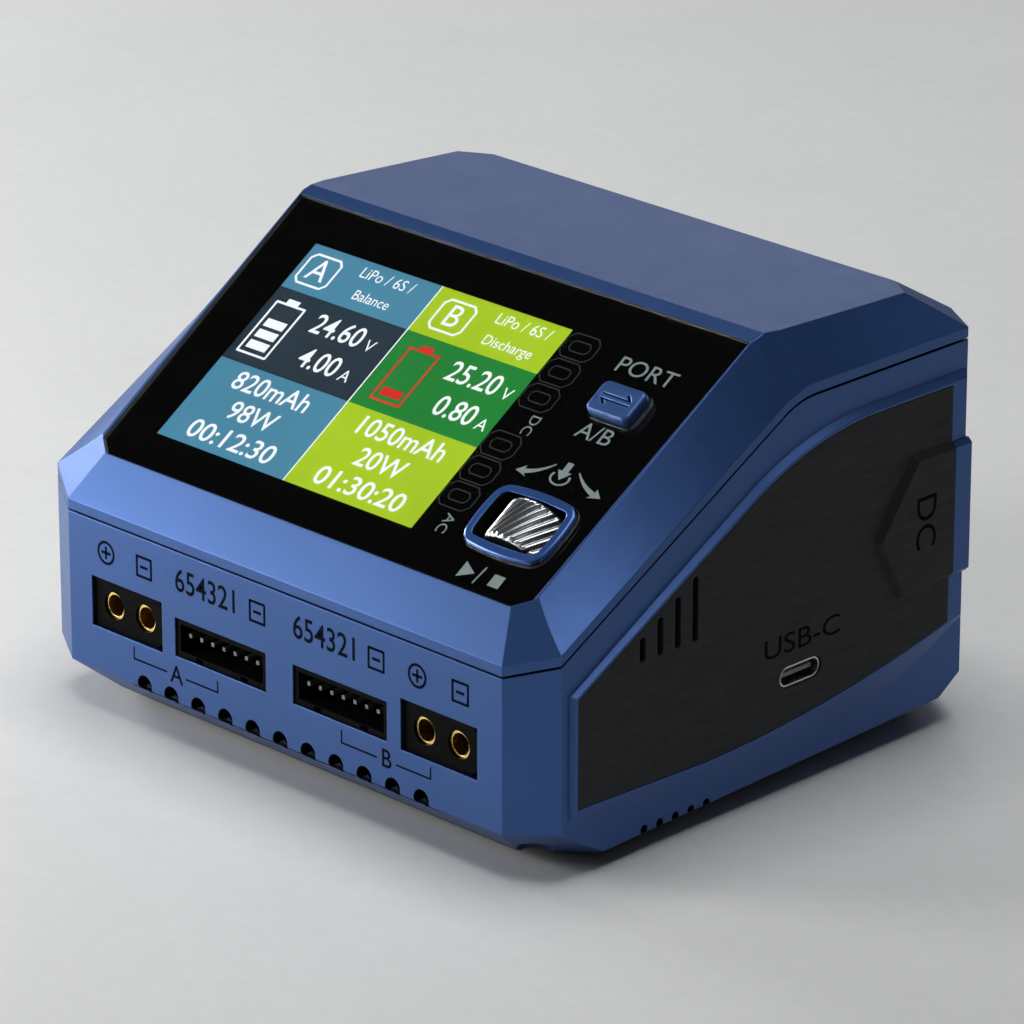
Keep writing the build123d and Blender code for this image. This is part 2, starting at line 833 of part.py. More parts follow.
def output_socket(x):
    """Housing of one high-current output, with two bores for its contacts."""
    with BuildPart() as housing:
        with BuildSketch(front_plane.offset(-socket_recess)):
            Polygon(*socket_outline(x, socket_size), align=None)
        extrude(amount=-socket_depth)
        with BuildSketch(front_plane.offset(-socket_recess)):
            with Locations((x, socket_z)):
                with GridLocations(contact_pitch, 1, 2, 1):
                    Circle(contact_outer_r)
        extrude(amount=-contact_length - contact_recess, mode=Mode.SUBTRACT)
    return housing


def output_contacts(x):
    """The two tubular contacts of one output, closed at their rear."""
    mouth = front_plane.offset(-socket_recess - contact_recess)
    with BuildPart() as contacts:
        with BuildSketch(mouth):
            with Locations((x, socket_z)):
                with GridLocations(contact_pitch, 1, 2, 1):
                    Circle(contact_outer_r)
        extrude(amount=-contact_length)
        with BuildSketch(mouth):
            with Locations((x, socket_z)):
                with GridLocations(contact_pitch, 1, 2, 1):
                    Circle(contact_bore_r)
        extrude(amount=1.0 - contact_length, mode=Mode.SUBTRACT)
    return contacts


output_socket_a = output_socket(-socket_x)
output_socket_b = output_socket(socket_x)
socket_contacts_a = output_contacts(-socket_x)
socket_contacts_b = output_contacts(socket_x)


# ---------------------------------------------------------------- balance headers
header_depth = 11.5
header_recess = 0.3
header_wall = 0.85
header_cavity = 8.6
pin_side = 0.64
pin_tip = 0.5
pin_z = header_z + 0.6


def balance_header(x):
    """Open shroud of one balance port, with a keying slot in its lower wall."""
    with BuildPart() as header:
        with BuildSketch(front_plane.offset(-header_recess)):
            with Locations((x, header_z)):
                Rectangle(*grown(header_size, -socket_fit))
        extrude(amount=-header_depth)
        with BuildSketch(front_plane.offset(-header_recess)):
            with Locations((x, header_z)):
                Rectangle(*grown(header_size, -socket_fit - header_wall))
            for side in (-1, 1):
                with Locations((x + side * 5.0, header_z - header_size[1] / 2 + header_wall / 2)):
                    Rectangle(1.6, header_wall)
        extrude(amount=-header_cavity, mode=Mode.SUBTRACT)
        with BuildSketch(front_plane.offset(-header_recess - header_cavity)):
            with Locations((x, pin_z)):
                with GridLocations(pin_pitch, 1, pin_count, 1):
                    Rectangle(pin_side, pin_side)
        extrude(amount=-header_depth, mode=Mode.SUBTRACT)
    return header


def balance_pins(x):
    """Square pins that run back through the shroud and turn down to the board."""
    tip = front_plane.offset(-header_recess - pin_tip)
    tail_back = header_recess + header_depth + 1.2
    with BuildPart() as pins:
        with BuildSketch(tip):
            with Locations((x, pin_z)):
                with GridLocations(pin_pitch, 1, pin_count, 1):
                    Rectangle(pin_side, pin_side)
        extrude(amount=-(tail_back - header_recess - pin_tip))
        with BuildSketch(Plane.XY.offset(pin_z + pin_side / 2)):
            with Locations((x, front_y + tail_back - pin_side / 2)):
                with GridLocations(pin_pitch, 1, pin_count, 1):
                    Rectangle(pin_side, pin_side)
        extrude(amount=-(pin_z + pin_side / 2 - main_board_top))
    return pins


balance_header_a = balance_header(-header_x)
balance_header_b = balance_header(header_x)
balance_pins_a = balance_pins(-header_x)
balance_pins_b = balance_pins(header_x)


# ---------------------------------------------------------------- USB-C socket
usb_mouth_x = half_width + 0.85
usb_depth = 7.4
usb_wall = 0.3
usb_mouth = Plane(origin=(usb_mouth_x, usb_y, usb_z), x_dir=(0, 1, 0), z_dir=(1, 0, 0))
usb_board_size = (12.0, 16.0)
usb_board_thick = 1.2
usb_board_top = usb_z - usb_shell[1] / 2 - 0.02
usb_board_x = usb_mouth_x - usb_depth - 2.0

with BuildPart() as usb_c_shell:
    with BuildSketch(usb_mouth):
        SlotOverall(*usb_shell)
    extrude(amount=-usb_depth)
    with BuildSketch(usb_mouth):
        SlotOverall(usb_shell[0] - 2 * usb_wall, usb_shell[1] - 2 * usb_wall)
    extrude(amount=usb_wall - usb_depth, mode=Mode.SUBTRACT)

with BuildPart() as usb_c_tongue:
    with BuildSketch(usb_mouth.offset(-usb_depth + usb_wall)):
        Rectangle(6.7, 0.7)
    extrude(amount=usb_depth - usb_wall - 0.8)

with BuildPart() as usb_board:
    with BuildSketch(Plane.XY.offset(usb_board_top)):
        with Locations((usb_board_x, usb_y)):
            Rectangle(*usb_board_size)
    extrude(amount=-usb_board_thick)

with BuildPart() as usb_header:
    with BuildSketch(Plane.XY.offset(main_board_top)):
        with Locations((usb_board_x - 2.0, usb_y)):
            Rectangle(5.0, 12.7)
    extrude(amount=usb_board_top - usb_board_thick - main_board_top)


# ---------------------------------------------------------------- rear panel
panel_gap = 0.15
grille_r = 18.4
grille_hole_r = 1.35
grille_pitch = 3.3
fan_screw_pitch = 32.0
fan_screw_head_r = 2.3
fan_screw_head = 1.1
dc_size = (16.3, 8.5)
ac_size = (20.4, 12.8)
rear_panel_mid = Plane(origin=(0, rear_y - ledge_thick, 0), x_dir=(-1, 0, 0), z_dir=(0, 1, 0))

with BuildPart() as rear_panel:
    with BuildSketch(rear_plane):
        with Locations((0, rear_z)):
            RectangleRounded(ledge_size[0] - 2 * panel_gap, ledge_size[1] - 2 * panel_gap, radius=2.85)
    extrude(amount=-ledge_thick)
    chamfer(rear_panel.faces().sort_by(Axis.Y)[-1].edges(), 0.3)
    with BuildSketch(rear_panel_mid):
        with Locations((0, rear_z)):
            RectangleRounded(rear_opening[0] - 2 * panel_gap, rear_opening[1] - 2 * panel_gap, radius=1.85)
    extrude(amount=ledge_thick - wall)
    with BuildSketch(rear_plane):
        with Locations((0, fan_z)):
            Circle(grille_r)
    extrude(amount=-0.6, mode=Mode.SUBTRACT)
    with BuildSketch(rear_plane):
        with Locations((0, fan_z)):
            with HexLocations(grille_pitch / 2, 13, 13):
                RegularPolygon(grille_hole_r, 6, major_radius=True)
        with Locations((0, fan_z)):
            Circle(grille_r - 0.8, mode=Mode.INTERSECT)
    extrude(amount=-2 * wall, mode=Mode.SUBTRACT)
    with BuildSketch(rear_plane):
        with Locations((-dc_x, inlet_z)):
            Rectangle(*dc_size)
        with Locations((-ac_x, inlet_z)):
            RectangleRounded(*ac_size, radius=2.0)
    extrude(amount=-2 * wall, mode=Mode.SUBTRACT)
    with BuildSketch(rear_plane):
        with Locations((0, fan_z)):
            with GridLocations(fan_screw_pitch, fan_screw_pitch, 2, 2):
                Circle(fan_screw_head_r + 0.2)
    extrude(amount=-fan_screw_head, mode=Mode.SUBTRACT)
    with BuildSketch(rear_plane):
        with Locations((0, fan_z)):
            with GridLocations(fan_screw_pitch, fan_screw_pitch, 2, 2):
                Circle(screw_r + 0.15)
    extrude(amount=-2 * wall, mode=Mode.SUBTRACT)


# ---------------------------------------------------------------- supply inlets
dc_depth = 16.0
dc_cavity = 9.0
dc_pin_r = 1.75
dc_tail_r = 1.5
tail_out = 2.0
dc_pin_back = 1.2
dc_wall = 1.1
rear_mouth = rear_plane.offset(-0.2)

with BuildPart() as dc_inlet:
    with BuildSketch(rear_mouth):
        with Locations((-dc_x, inlet_z)):
            Rectangle(*grown(dc_size, -0.1))
    extrude(amount=-dc_depth)
    with BuildSketch(rear_mouth):
        with Locations((-dc_x, inlet_z)):
            Rectangle(*grown(dc_size, -0.1 - dc_wall))
    extrude(amount=-dc_cavity, mode=Mode.SUBTRACT)
    with BuildSketch(rear_mouth.offset(-dc_cavity)):
        with Locations((-dc_x, inlet_z)):
            with GridLocations(contact_pitch, 1, 2, 1):
                Circle(dc_tail_r)
    extrude(amount=-dc_depth, mode=Mode.SUBTRACT)

with BuildPart() as dc_pins:
    with BuildSketch(rear_mouth.offset(-dc_pin_back)):
        with Locations((-dc_x, inlet_z)):
            with GridLocations(contact_pitch, 1, 2, 1):
                Circle(dc_pin_r)
    extrude(amount=dc_pin_back - dc_cavity)
    chamfer(dc_pins.edges().filter_by(GeomType.CIRCLE).group_by(Axis.Y)[-1], 0.5)
    with BuildSketch(rear_mouth.offset(-dc_cavity)):
        with Locations((-dc_x, inlet_z)):
            with GridLocations(contact_pitch, 1, 2, 1):
                Circle(dc_tail_r)
    extrude(amount=dc_cavity - dc_depth - tail_out)

ac_depth = 17.0
ac_cavity = 11.0
ac_pin_r = 1.2
ac_tail_r = 1.0
ac_pin_back = 2.0
ac_pin_pitch = 8.6
ac_cavity_size = (16.6, 8.4)

with BuildPart() as ac_inlet:
    with BuildSketch(rear_mouth):
        with Locations((-ac_x, inlet_z)):
            RectangleRounded(*grown(ac_size, -0.1), radius=1.9)
    extrude(amount=-ac_depth)
    with BuildSketch(rear_mouth):
        with Locations((-ac_x, inlet_z)):
            SlotOverall(*ac_cavity_size)
    extrude(amount=-ac_cavity, mode=Mode.SUBTRACT)
    with BuildSketch(rear_mouth.offset(-ac_cavity)):
        with Locations((-ac_x, inlet_z)):
            with GridLocations(ac_pin_pitch, 1, 2, 1):
                Circle(ac_tail_r)
    extrude(amount=-ac_depth, mode=Mode.SUBTRACT)

with BuildPart() as ac_pins:
    with BuildSketch(rear_mouth.offset(-ac_pin_back)):
        with Locations((-ac_x, inlet_z)):
            with GridLocations(ac_pin_pitch, 1, 2, 1):
                Circle(ac_pin_r)
    extrude(amount=ac_pin_back - ac_cavity)
    fillet(ac_pins.edges().filter_by(GeomType.CIRCLE).group_by(Axis.Y)[-1], radius=0.9)
    with BuildSketch(rear_mouth.offset(-ac_cavity)):
        with Locations((-ac_x, inlet_z)):
            with GridLocations(ac_pin_pitch, 1, 2, 1):
                Circle(ac_tail_r)
    extrude(amount=ac_cavity - ac_depth - tail_out)


# ---------------------------------------------------------------- fan
fan_bore_r = 19.0
hub_r = 9.0
blade_tip_r = 18.3
blade_count = 7
blade_pitch = 38.0
rotor_thick = 7.6
strut_thick = 1.6
strut_width = 2.4
spindle_r = 1.0
fan_rear_y = rear_y - wall - 0.1
rotor_rear_y = fan_rear_y - strut_thick - 0.4
fan_plane = Plane(origin=(0, fan_rear_y, fan_z), x_dir=(-1, 0, 0), z_dir=(0, 1, 0))
rotor_plane = Plane(origin=(0, rotor_rear_y, fan_z), x_dir=(-1, 0, 0), z_dir=(0, 1, 0))

with BuildPart() as fan_frame:
    with BuildSketch(fan_plane):
        RectangleRounded(fan_size, fan_size, radius=3.0)
        Circle(fan_bore_r, mode=Mode.SUBTRACT)
        with GridLocations(fan_screw_pitch, fan_screw_pitch, 2, 2):
            Circle(screw_r, mode=Mode.SUBTRACT)
    extrude(amount=-fan_thick)
    with BuildSketch(fan_plane):
        Circle(hub_r)
        with PolarLocations(0, 4, start_angle=45):
            with Locations((fan_bore_r / 2, 0)):
                Rectangle(fan_bore_r, strut_width)
        Circle(spindle_r + shaft_clearance, mode=Mode.SUBTRACT)
    extrude(amount=-strut_thick)

with BuildPart() as fan_rotor:
    with BuildSketch(rotor_plane):
        Circle(hub_r)
    extrude(amount=-rotor_thick)
    fillet(fan_rotor.edges().filter_by(GeomType.CIRCLE).group_by(Axis.Y)[0], radius=1.2)
    for blade in range(blade_count):
        turn = radians(360.0 * blade / blade_count)
        radial = Vector(cos(turn), 0, sin(turn))
        blade_foot = rotor_plane.origin + radial * (hub_r - 0.6) - Vector(0, rotor_thick / 2, 0)
        blade_plane = Plane(origin=blade_foot, x_dir=(-sin(turn), 0, cos(turn)), z_dir=radial)
        with BuildSketch(blade_plane):
            Rectangle(8.6, 0.9, rotation=blade_pitch)
        extrude(amount=blade_tip_r - hub_r - 0.2)
    with BuildSketch(rotor_plane):
        Circle(spindle_r)
    extrude(amount=strut_thick + 0.2)


# ---------------------------------------------------------------- boards
main_board_rear = 34.0
main_board_front = front_y + wall + 0.7
main_board_half = 50.0
notch = (9.0, 10.0)
psu_board_front = -8.0
psu_board_rear = 26.0
psu_board_half = 46.0
psu_spots = [(side * 42.0, y) for side in (-1, 1) for y in (-4.0, 22.0)]
spacer_r = 2.5

with BuildPart() as main_board:
    with BuildSketch(Plane.XY.offset(main_board_top)):
        with Locations((0, (main_board_front + main_board_rear) / 2)):
            Rectangle(2 * main_board_half, main_board_rear - main_board_front)
        for side in (-1, 1):
            with Locations((side * (main_board_half - notch[0] / 2), main_board_front + notch[1] / 2)):
                Rectangle(*notch, mode=Mode.SUBTRACT)
        with Locations(*boss_spots):
            Circle(screw_r, mode=Mode.SUBTRACT)
    extrude(amount=-board_thick)

with BuildPart() as psu_board:
    with BuildSketch(Plane.XY.offset(psu_board_top)):
        with Locations((0, (psu_board_front + psu_board_rear) / 2)):
            Rectangle(2 * psu_board_half, psu_board_rear - psu_board_front)
    extrude(amount=-board_thick)

with BuildPart() as board_spacers:
    with BuildSketch(Plane.XY.offset(main_board_top)):
        with Locations(*psu_spots):
            RegularPolygon(spacer_r, 6)
    extrude(amount=psu_board_top - board_thick - main_board_top)


# ---------------------------------------------------------------- parts on the boards
def block(x, y, z, size, edge=0.4):
    """A chamfered block standing on a board, centred on x and y."""
    with BuildPart() as body:
        with BuildSketch(Plane.XY.offset(z)):
            with Locations((x, y)):
                Rectangle(size[0], size[1])
        extrude(amount=size[2])
        chamfer(body.faces().sort_by(Axis.Z)[-1].edges(), edge)
    return body


def finned(x, y, z, size, fins):
    """A heat sink: a base plate with a row of upright fins."""
    base = 1.6
    pitch = (size[0] - 1.2) / (fins - 1)
    with BuildPart() as sink:
        with BuildSketch(Plane.XY.offset(z)):
            with Locations((x, y)):
                Rectangle(size[0], size[1])
        extrude(amount=base)
        with BuildSketch(Plane.XY.offset(z + base)):
            with Locations((x, y)):
                with GridLocations(pitch, 1, fins, 1):
                    Rectangle(1.2, size[1])
        extrude(amount=size[2] - base)
    return sink


def cans(z, r, height, spots):
    """Electrolytic capacitors with a rounded top rim."""
    with BuildPart() as group:
        with BuildSketch(Plane.XY.offset(z)):
            with Locations(*spots):
                Circle(r)
        extrude(amount=height)
        fillet(group.edges().filter_by(GeomType.CIRCLE).group_by(Axis.Z)[-1], radius=0.5)
    return group


def chips(z, size, spots):
    """Flat packages standing on a board."""
    with BuildPart() as group:
        with BuildSketch(Plane.XY.offset(z)):
            with Locations(*spots):
                Rectangle(size[0], size[1])
        extrude(amount=size[2])
    return group


heatsink_a = finned(-24.0, -17.0, main_board_top + 1.4, (26.0, 14.0, 11.0), 9)
heatsink_b = finned(24.0, -17.0, main_board_top + 1.4, (26.0, 14.0, 11.0), 9)
mosfets = chips(main_board_top, (5.2, 6.0, 1.4), [(x, -17.0) for x in (-32, -24, -16, 16, 24, 32)])
inductor_a = block(-20.0, 4.0, main_board_top, (15.0, 15.0, 9.0), 1.0)
inductor_b = block(20.0, 4.0, main_board_top, (15.0, 15.0, 9.0), 1.0)
output_capacitors = cans(main_board_top, 4.0, 11.5, [(-5.0, 0.0), (5.0, 0.0), (-5.0, 10.0), (5.0, 10.0)])
control_chips = chips(main_board_top, (9.0, 9.0, 1.3), [(0.0, -24.0), (-14.0, 22.0), (14.0, 22.0)])
buzzer = cans(main_board_top, 4.6, 6.0, [(0.0, 24.0)])

bulk_capacitor = cans(psu_board_top, 8.0, 20.0, [(-34.0, 12.0)])
transformer_winding = block(-8.0, 12.0, psu_board_top + 2.6, (13.0, 18.0, 12.8), 1.0)
choke = block(-22.0, -3.2, psu_board_top, (10.0, 9.0, 9.0), 1.0)
primary_heatsink = finned(16.0, 16.0, psu_board_top, (18.0, 12.0, 17.0), 6)
fuse_holder = block(-38.0, -3.0, psu_board_top, (12.0, 5.5, 7.0), 0.8)
psu_capacitors = cans(psu_board_top, 4.0, 13.0, [(34.0, 6.0), (34.0, 16.0)])

core_size = (22.0, 20.0, 18.0)
with BuildPart() as transformer_core:
    with BuildSketch(Plane.XY.offset(psu_board_top)):
        with Locations((-8.0, 12.0)):
            Rectangle(core_size[0], core_size[1])
    extrude(amount=core_size[2])
    with BuildSketch(Plane.XY.offset(psu_board_top + 2.5)):
        with Locations((-8.0, 12.0)):
            Rectangle(13.2, 2 * core_size[1])
    extrude(amount=core_size[2] - 5.0, mode=Mode.SUBTRACT)


# ---------------------------------------------------------------- leads
lead_r = 0.9
bend_r = 2.0


def leads(route, offsets):
    """Stiff leads side by side, each along the same bent route."""
    with BuildPart() as bundle:
        for offset_x in offsets:
            with BuildLine() as path:
                FilletPolyline(*[(x + offset_x, y, z) for x, y, z in route], radius=bend_r)
            with BuildSketch(Plane(origin=path.line @ 0, z_dir=path.line % 0)):
                Circle(lead_r)
            sweep(path=path.line)
    return bundle


dc_tail_y = rear_mouth.origin.Y - dc_depth - tail_out
ac_tail_y = rear_mouth.origin.Y - ac_depth - tail_out
dc_leads = leads(
    [(dc_x, dc_tail_y, inlet_z), (dc_x, 27.6, inlet_z), (dc_x, 27.6, main_board_top)],
    (-contact_pitch / 2, contact_pitch / 2),
)
ac_leads = leads(
    [(ac_x, ac_tail_y, inlet_z), (ac_x, 24.0, inlet_z), (ac_x, 24.0, psu_board_top)],
    (-ac_pin_pitch / 2, ac_pin_pitch / 2),
)


# ---------------------------------------------------------------- feet and fasteners
screw_head = 1.7

with BuildPart() as feet:
    with BuildSketch(Plane.XY):
        with Locations(*foot_spots):
            Circle(foot_r)
    extrude(amount=base_z + foot_recess)
    fillet(feet.edges().filter_by(GeomType.CIRCLE).group_by(Axis.Z)[0], radius=0.5)

case_screw_low = base_z + counterbore_depth + 2.4 - screw_head
with BuildPart() as case_screws:
    with BuildSketch(Plane.XY.offset(case_screw_low)):
        with Locations(*post_spots):
            Circle(screw_head_r)
    extrude(amount=screw_head)
    with BuildSketch(Plane.XY.offset(case_screw_low + screw_head)):
        with Locations(*post_spots):
            Circle(screw_r)
    extrude(amount=post_top_z + 8.0 - case_screw_low - screw_head)
    with BuildSketch(Plane.XY.offset(case_screw_low)):
        with Locations(*post_spots):
            RegularPolygon(1.2, 6)
    extrude(amount=1.0, mode=Mode.SUBTRACT)

with BuildPart() as board_screws:
    with BuildSketch(Plane.XY.offset(main_board_top)):
        with Locations(*boss_spots):
            Circle(2.2)
    extrude(amount=1.3)
    with BuildSketch(Plane.XY.offset(main_board_top)):
        with Locations(*boss_spots):
            Circle(pilot_r)
    extrude(amount=-board_thick - 5.0)

with BuildPart() as ui_screws:
    under_board = on_panel(ui_board_depth + board_thick)
    with BuildSketch(under_board):
        with Locations(*ui_boss_spots):
            Circle(2.0)
    extrude(amount=-1.2)
    with BuildSketch(under_board):
        with Locations(*ui_boss_spots):
            Circle(pilot_r)
    extrude(amount=board_thick + 5.0)

with BuildPart() as fan_screws:
    with BuildSketch(rear_plane):
        with Locations((0, fan_z)):
            with GridLocations(fan_screw_pitch, fan_screw_pitch, 2, 2):
                Circle(fan_screw_head_r)
    extrude(amount=-fan_screw_head)
    fillet(fan_screws.edges().filter_by(GeomType.CIRCLE).group_by(Axis.Y)[-1], radius=0.4)
    with BuildSketch(rear_plane):
        with Locations((0, fan_z)):
            with GridLocations(fan_screw_pitch, fan_screw_pitch, 2, 2):
                Circle(screw_r)
    extrude(amount=-wall - 7.0)


# ---------------------------------------------------------------- export
pieces = {
    "lower_shell": lower_shell,
    "top_cover": top_cover,
    "side_panel_left": side_panel_left,
    "side_panel_right": side_panel_right,
    "rear_panel": rear_panel,
    "display_glass": display_glass,
    "lcd_module": lcd_module,
    "display_ribbon": display_ribbon,
    "port_button": port_button,
    "port_switch": port_switch,
    "roller_bezel": roller_bezel,
    "scroll_roller": scroll_roller,
    "roller_carrier": roller_carrier,
    "roller_encoder": roller_encoder,
    "roller_switch": roller_switch,
    "ui_board": ui_board,
    "output_socket_a": output_socket_a,
    "output_socket_b": output_socket_b,
    "socket_contacts_a": socket_contacts_a,
    "socket_contacts_b": socket_contacts_b,
    "balance_header_a": balance_header_a,
    "balance_header_b": balance_header_b,
    "balance_pins_a": balance_pins_a,
    "balance_pins_b": balance_pins_b,
    "usb_c_shell": usb_c_shell,
    "usb_c_tongue": usb_c_tongue,
    "usb_board": usb_board,
    "usb_header": usb_header,
    "dc_inlet": dc_inlet,
    "dc_pins": dc_pins,
    "dc_leads": dc_leads,
    "ac_inlet": ac_inlet,
    "ac_pins": ac_pins,
    "ac_leads": ac_leads,
    "fan_frame": fan_frame,
    "fan_rotor": fan_rotor,
    "main_board": main_board,
    "heatsink_a": heatsink_a,
    "heatsink_b": heatsink_b,
    "mosfets": mosfets,
    "inductor_a": inductor_a,
    "inductor_b": inductor_b,
    "output_capacitors": output_capacitors,
    "control_chips": control_chips,
    "buzzer": buzzer,
    "psu_board": psu_board,
    "board_spacers": board_spacers,
    "bulk_capacitor": bulk_capacitor,
    "transformer_core": transformer_core,
    "transformer_winding": transformer_winding,
    "choke": choke,
    "primary_heatsink": primary_heatsink,
    "fuse_holder": fuse_holder,
    "psu_capacitors": psu_capacitors,
    "case_screws": case_screws,
    "board_screws": board_screws,
    "ui_screws": ui_screws,
    "fan_screws": fan_screws,
    "feet": feet,
}

for name, piece in pieces.items():
    piece.part.label = name
    export_step(piece.part, f"parts/{name}.step")
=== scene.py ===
import bpy
from math import atan2, cos, pi, radians, sin
from mathutils import Matrix, Vector


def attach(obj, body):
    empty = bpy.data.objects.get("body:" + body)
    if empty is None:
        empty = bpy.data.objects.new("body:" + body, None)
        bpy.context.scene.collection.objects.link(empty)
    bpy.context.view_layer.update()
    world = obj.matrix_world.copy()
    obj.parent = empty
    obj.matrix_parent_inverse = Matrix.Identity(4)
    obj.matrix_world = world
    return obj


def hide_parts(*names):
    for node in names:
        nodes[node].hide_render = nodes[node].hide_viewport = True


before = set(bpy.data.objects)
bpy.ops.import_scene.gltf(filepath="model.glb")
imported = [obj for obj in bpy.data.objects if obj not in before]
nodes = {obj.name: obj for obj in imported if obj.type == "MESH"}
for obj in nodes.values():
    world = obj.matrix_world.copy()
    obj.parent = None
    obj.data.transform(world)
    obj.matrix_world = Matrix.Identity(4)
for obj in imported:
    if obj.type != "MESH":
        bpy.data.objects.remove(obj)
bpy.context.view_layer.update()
MM = 0.001

# ------------------------------------------------------------------ places on the object, in millimetres
slope = radians(33.4)  # the display panel's rise
panel_foot_y, panel_foot_z = -43.4, 41.0  # where the panel's own measure up the slope starts
front_y, rear_y = -48.5, 48.5
side_x, side_start_y = 55.9, -43.9  # front end of the side panels
side_turn = atan2(0.4, 84.0)  # they stand 0.4 further out over 84 of depth
boss_proud = 0.9
roller_x, roller_s, roller_depth = 35.3, 13.0, 4.3  # axis, across and up the slope, and below the panel
button_x, button_s = 35.7, 37.35
button_proud, groove_depth = 1.5, 0.25
lcd_left, lcd_mid, lcd_right = -38.8, -10.5, 17.4
lcd_low, mid_low, head_low, lcd_high = 6.6, 23.1, 38.3, 47.5
vent_pitch, vent_count, vent_z, vent_r = 6.1, 11, 7.65, 1.6


# ------------------------------------------------------------------ node helpers
def new_material(name):
    """A new material, its node tree and its shader."""
    mat = bpy.data.materials.new(name)
    mat.use_nodes = True
    tree = mat.node_tree
    return mat, tree, tree.nodes["Principled BSDF"]


def link(tree, a, b):
    tree.links.new(a, b)


def coords(tree, scale=(1, 1, 1), turn=(0, 0, 0)):
    """Object coordinates, so that a finish stays on its piece when the piece moves."""
    where = tree.nodes.new("ShaderNodeTexCoord")
    mapping = tree.nodes.new("ShaderNodeMapping")
    mapping.inputs["Scale"].default_value = scale
    mapping.inputs["Rotation"].default_value = turn
    link(tree, where.outputs["Object"], mapping.inputs["Vector"])
    return mapping.outputs["Vector"]


def noise(tree, vector, scale, detail=3.0, rough=0.5):
    """Noise from 0 to 1."""
    tex = tree.nodes.new("ShaderNodeTexNoise")
    tex.inputs["Scale"].default_value = scale
    tex.inputs["Detail"].default_value = detail
    tex.inputs["Roughness"].default_value = rough
    link(tree, vector, tex.inputs["Vector"])
    return tex.outputs["Fac"]


def ramp(tree, value, stops):
    """A colour ramp over (position, colour) stops."""
    node = tree.nodes.new("ShaderNodeValToRGB")
    elements = node.color_ramp.elements
    while len(elements) < len(stops):
        elements.new(0.5)
    for element, (at, colour) in zip(elements, stops):
        element.position = at
        element.color = (*colour, 1.0)
    link(tree, value, node.inputs["Fac"])
    return node.outputs["Color"]


def span(tree, value, low, high, in_low=0.0, in_high=1.0):
    """The value, mapped from in_low..in_high to low..high."""
    node = tree.nodes.new("ShaderNodeMapRange")
    node.inputs["From Min"].default_value = in_low
    node.inputs["From Max"].default_value = in_high
    node.inputs["To Min"].default_value = low
    node.inputs["To Max"].default_value = high
    link(tree, value, node.inputs["Value"])
    return node.outputs["Result"]


def mix(tree, fac, a, b, blend="MIX"):
    """A blend of two colours; each input is a socket, a colour or a number."""
    node = tree.nodes.new("ShaderNodeMix")
    node.data_type = "RGBA"
    node.blend_type = blend
    sockets = {"Factor": node.inputs[0], "A": node.inputs[6], "B": node.inputs[7]}
    for key, value in (("Factor", fac), ("A", a), ("B", b)):
        if isinstance(value, (int, float)):
            sockets[key].default_value = value
        elif isinstance(value, tuple):
            sockets[key].default_value = (*value, 1.0)
        else:
            link(tree, value, sockets[key])
    return node.outputs[2]


def math_node(tree, operation, a, b=None):
    """One sum on sockets or numbers."""
    node = tree.nodes.new("ShaderNodeMath")
    node.operation = operation
    for socket, value in ((node.inputs[0], a), (node.inputs[1], b)):
        if value is None:
            continue
        if isinstance(value, (int, float)):
            socket.default_value = value
        else:
            link(tree, value, socket)
    return node.outputs[0]


def rounded_edges(tree, radius):
    """A normal that rounds the sharp edges, and a mask that is 1 on them."""
    bevel = tree.nodes.new("ShaderNodeBevel")
    bevel.samples = 6
    bevel.inputs["Radius"].default_value = radius
    geometry = tree.nodes.new("ShaderNodeNewGeometry")
    dot = tree.nodes.new("ShaderNodeVectorMath")
    dot.operation = "DOT_PRODUCT"
    link(tree, bevel.outputs["Normal"], dot.inputs[0])
    link(tree, geometry.outputs["Normal"], dot.inputs[1])
    mask = span(tree, dot.outputs["Value"], 1.0, 0.0, 0.86, 0.99)
    return bevel.outputs["Normal"], mask


def bump(tree, height, strength, distance, normal=None):
    """A normal that follows a fine height, on top of another normal if there is one."""
    node = tree.nodes.new("ShaderNodeBump")
    node.inputs["Strength"].default_value = strength
    node.inputs["Distance"].default_value = distance
    link(tree, height, node.inputs["Height"])
    if normal is not None:
        link(tree, normal, node.inputs["Normal"])
    return node.outputs["Normal"]


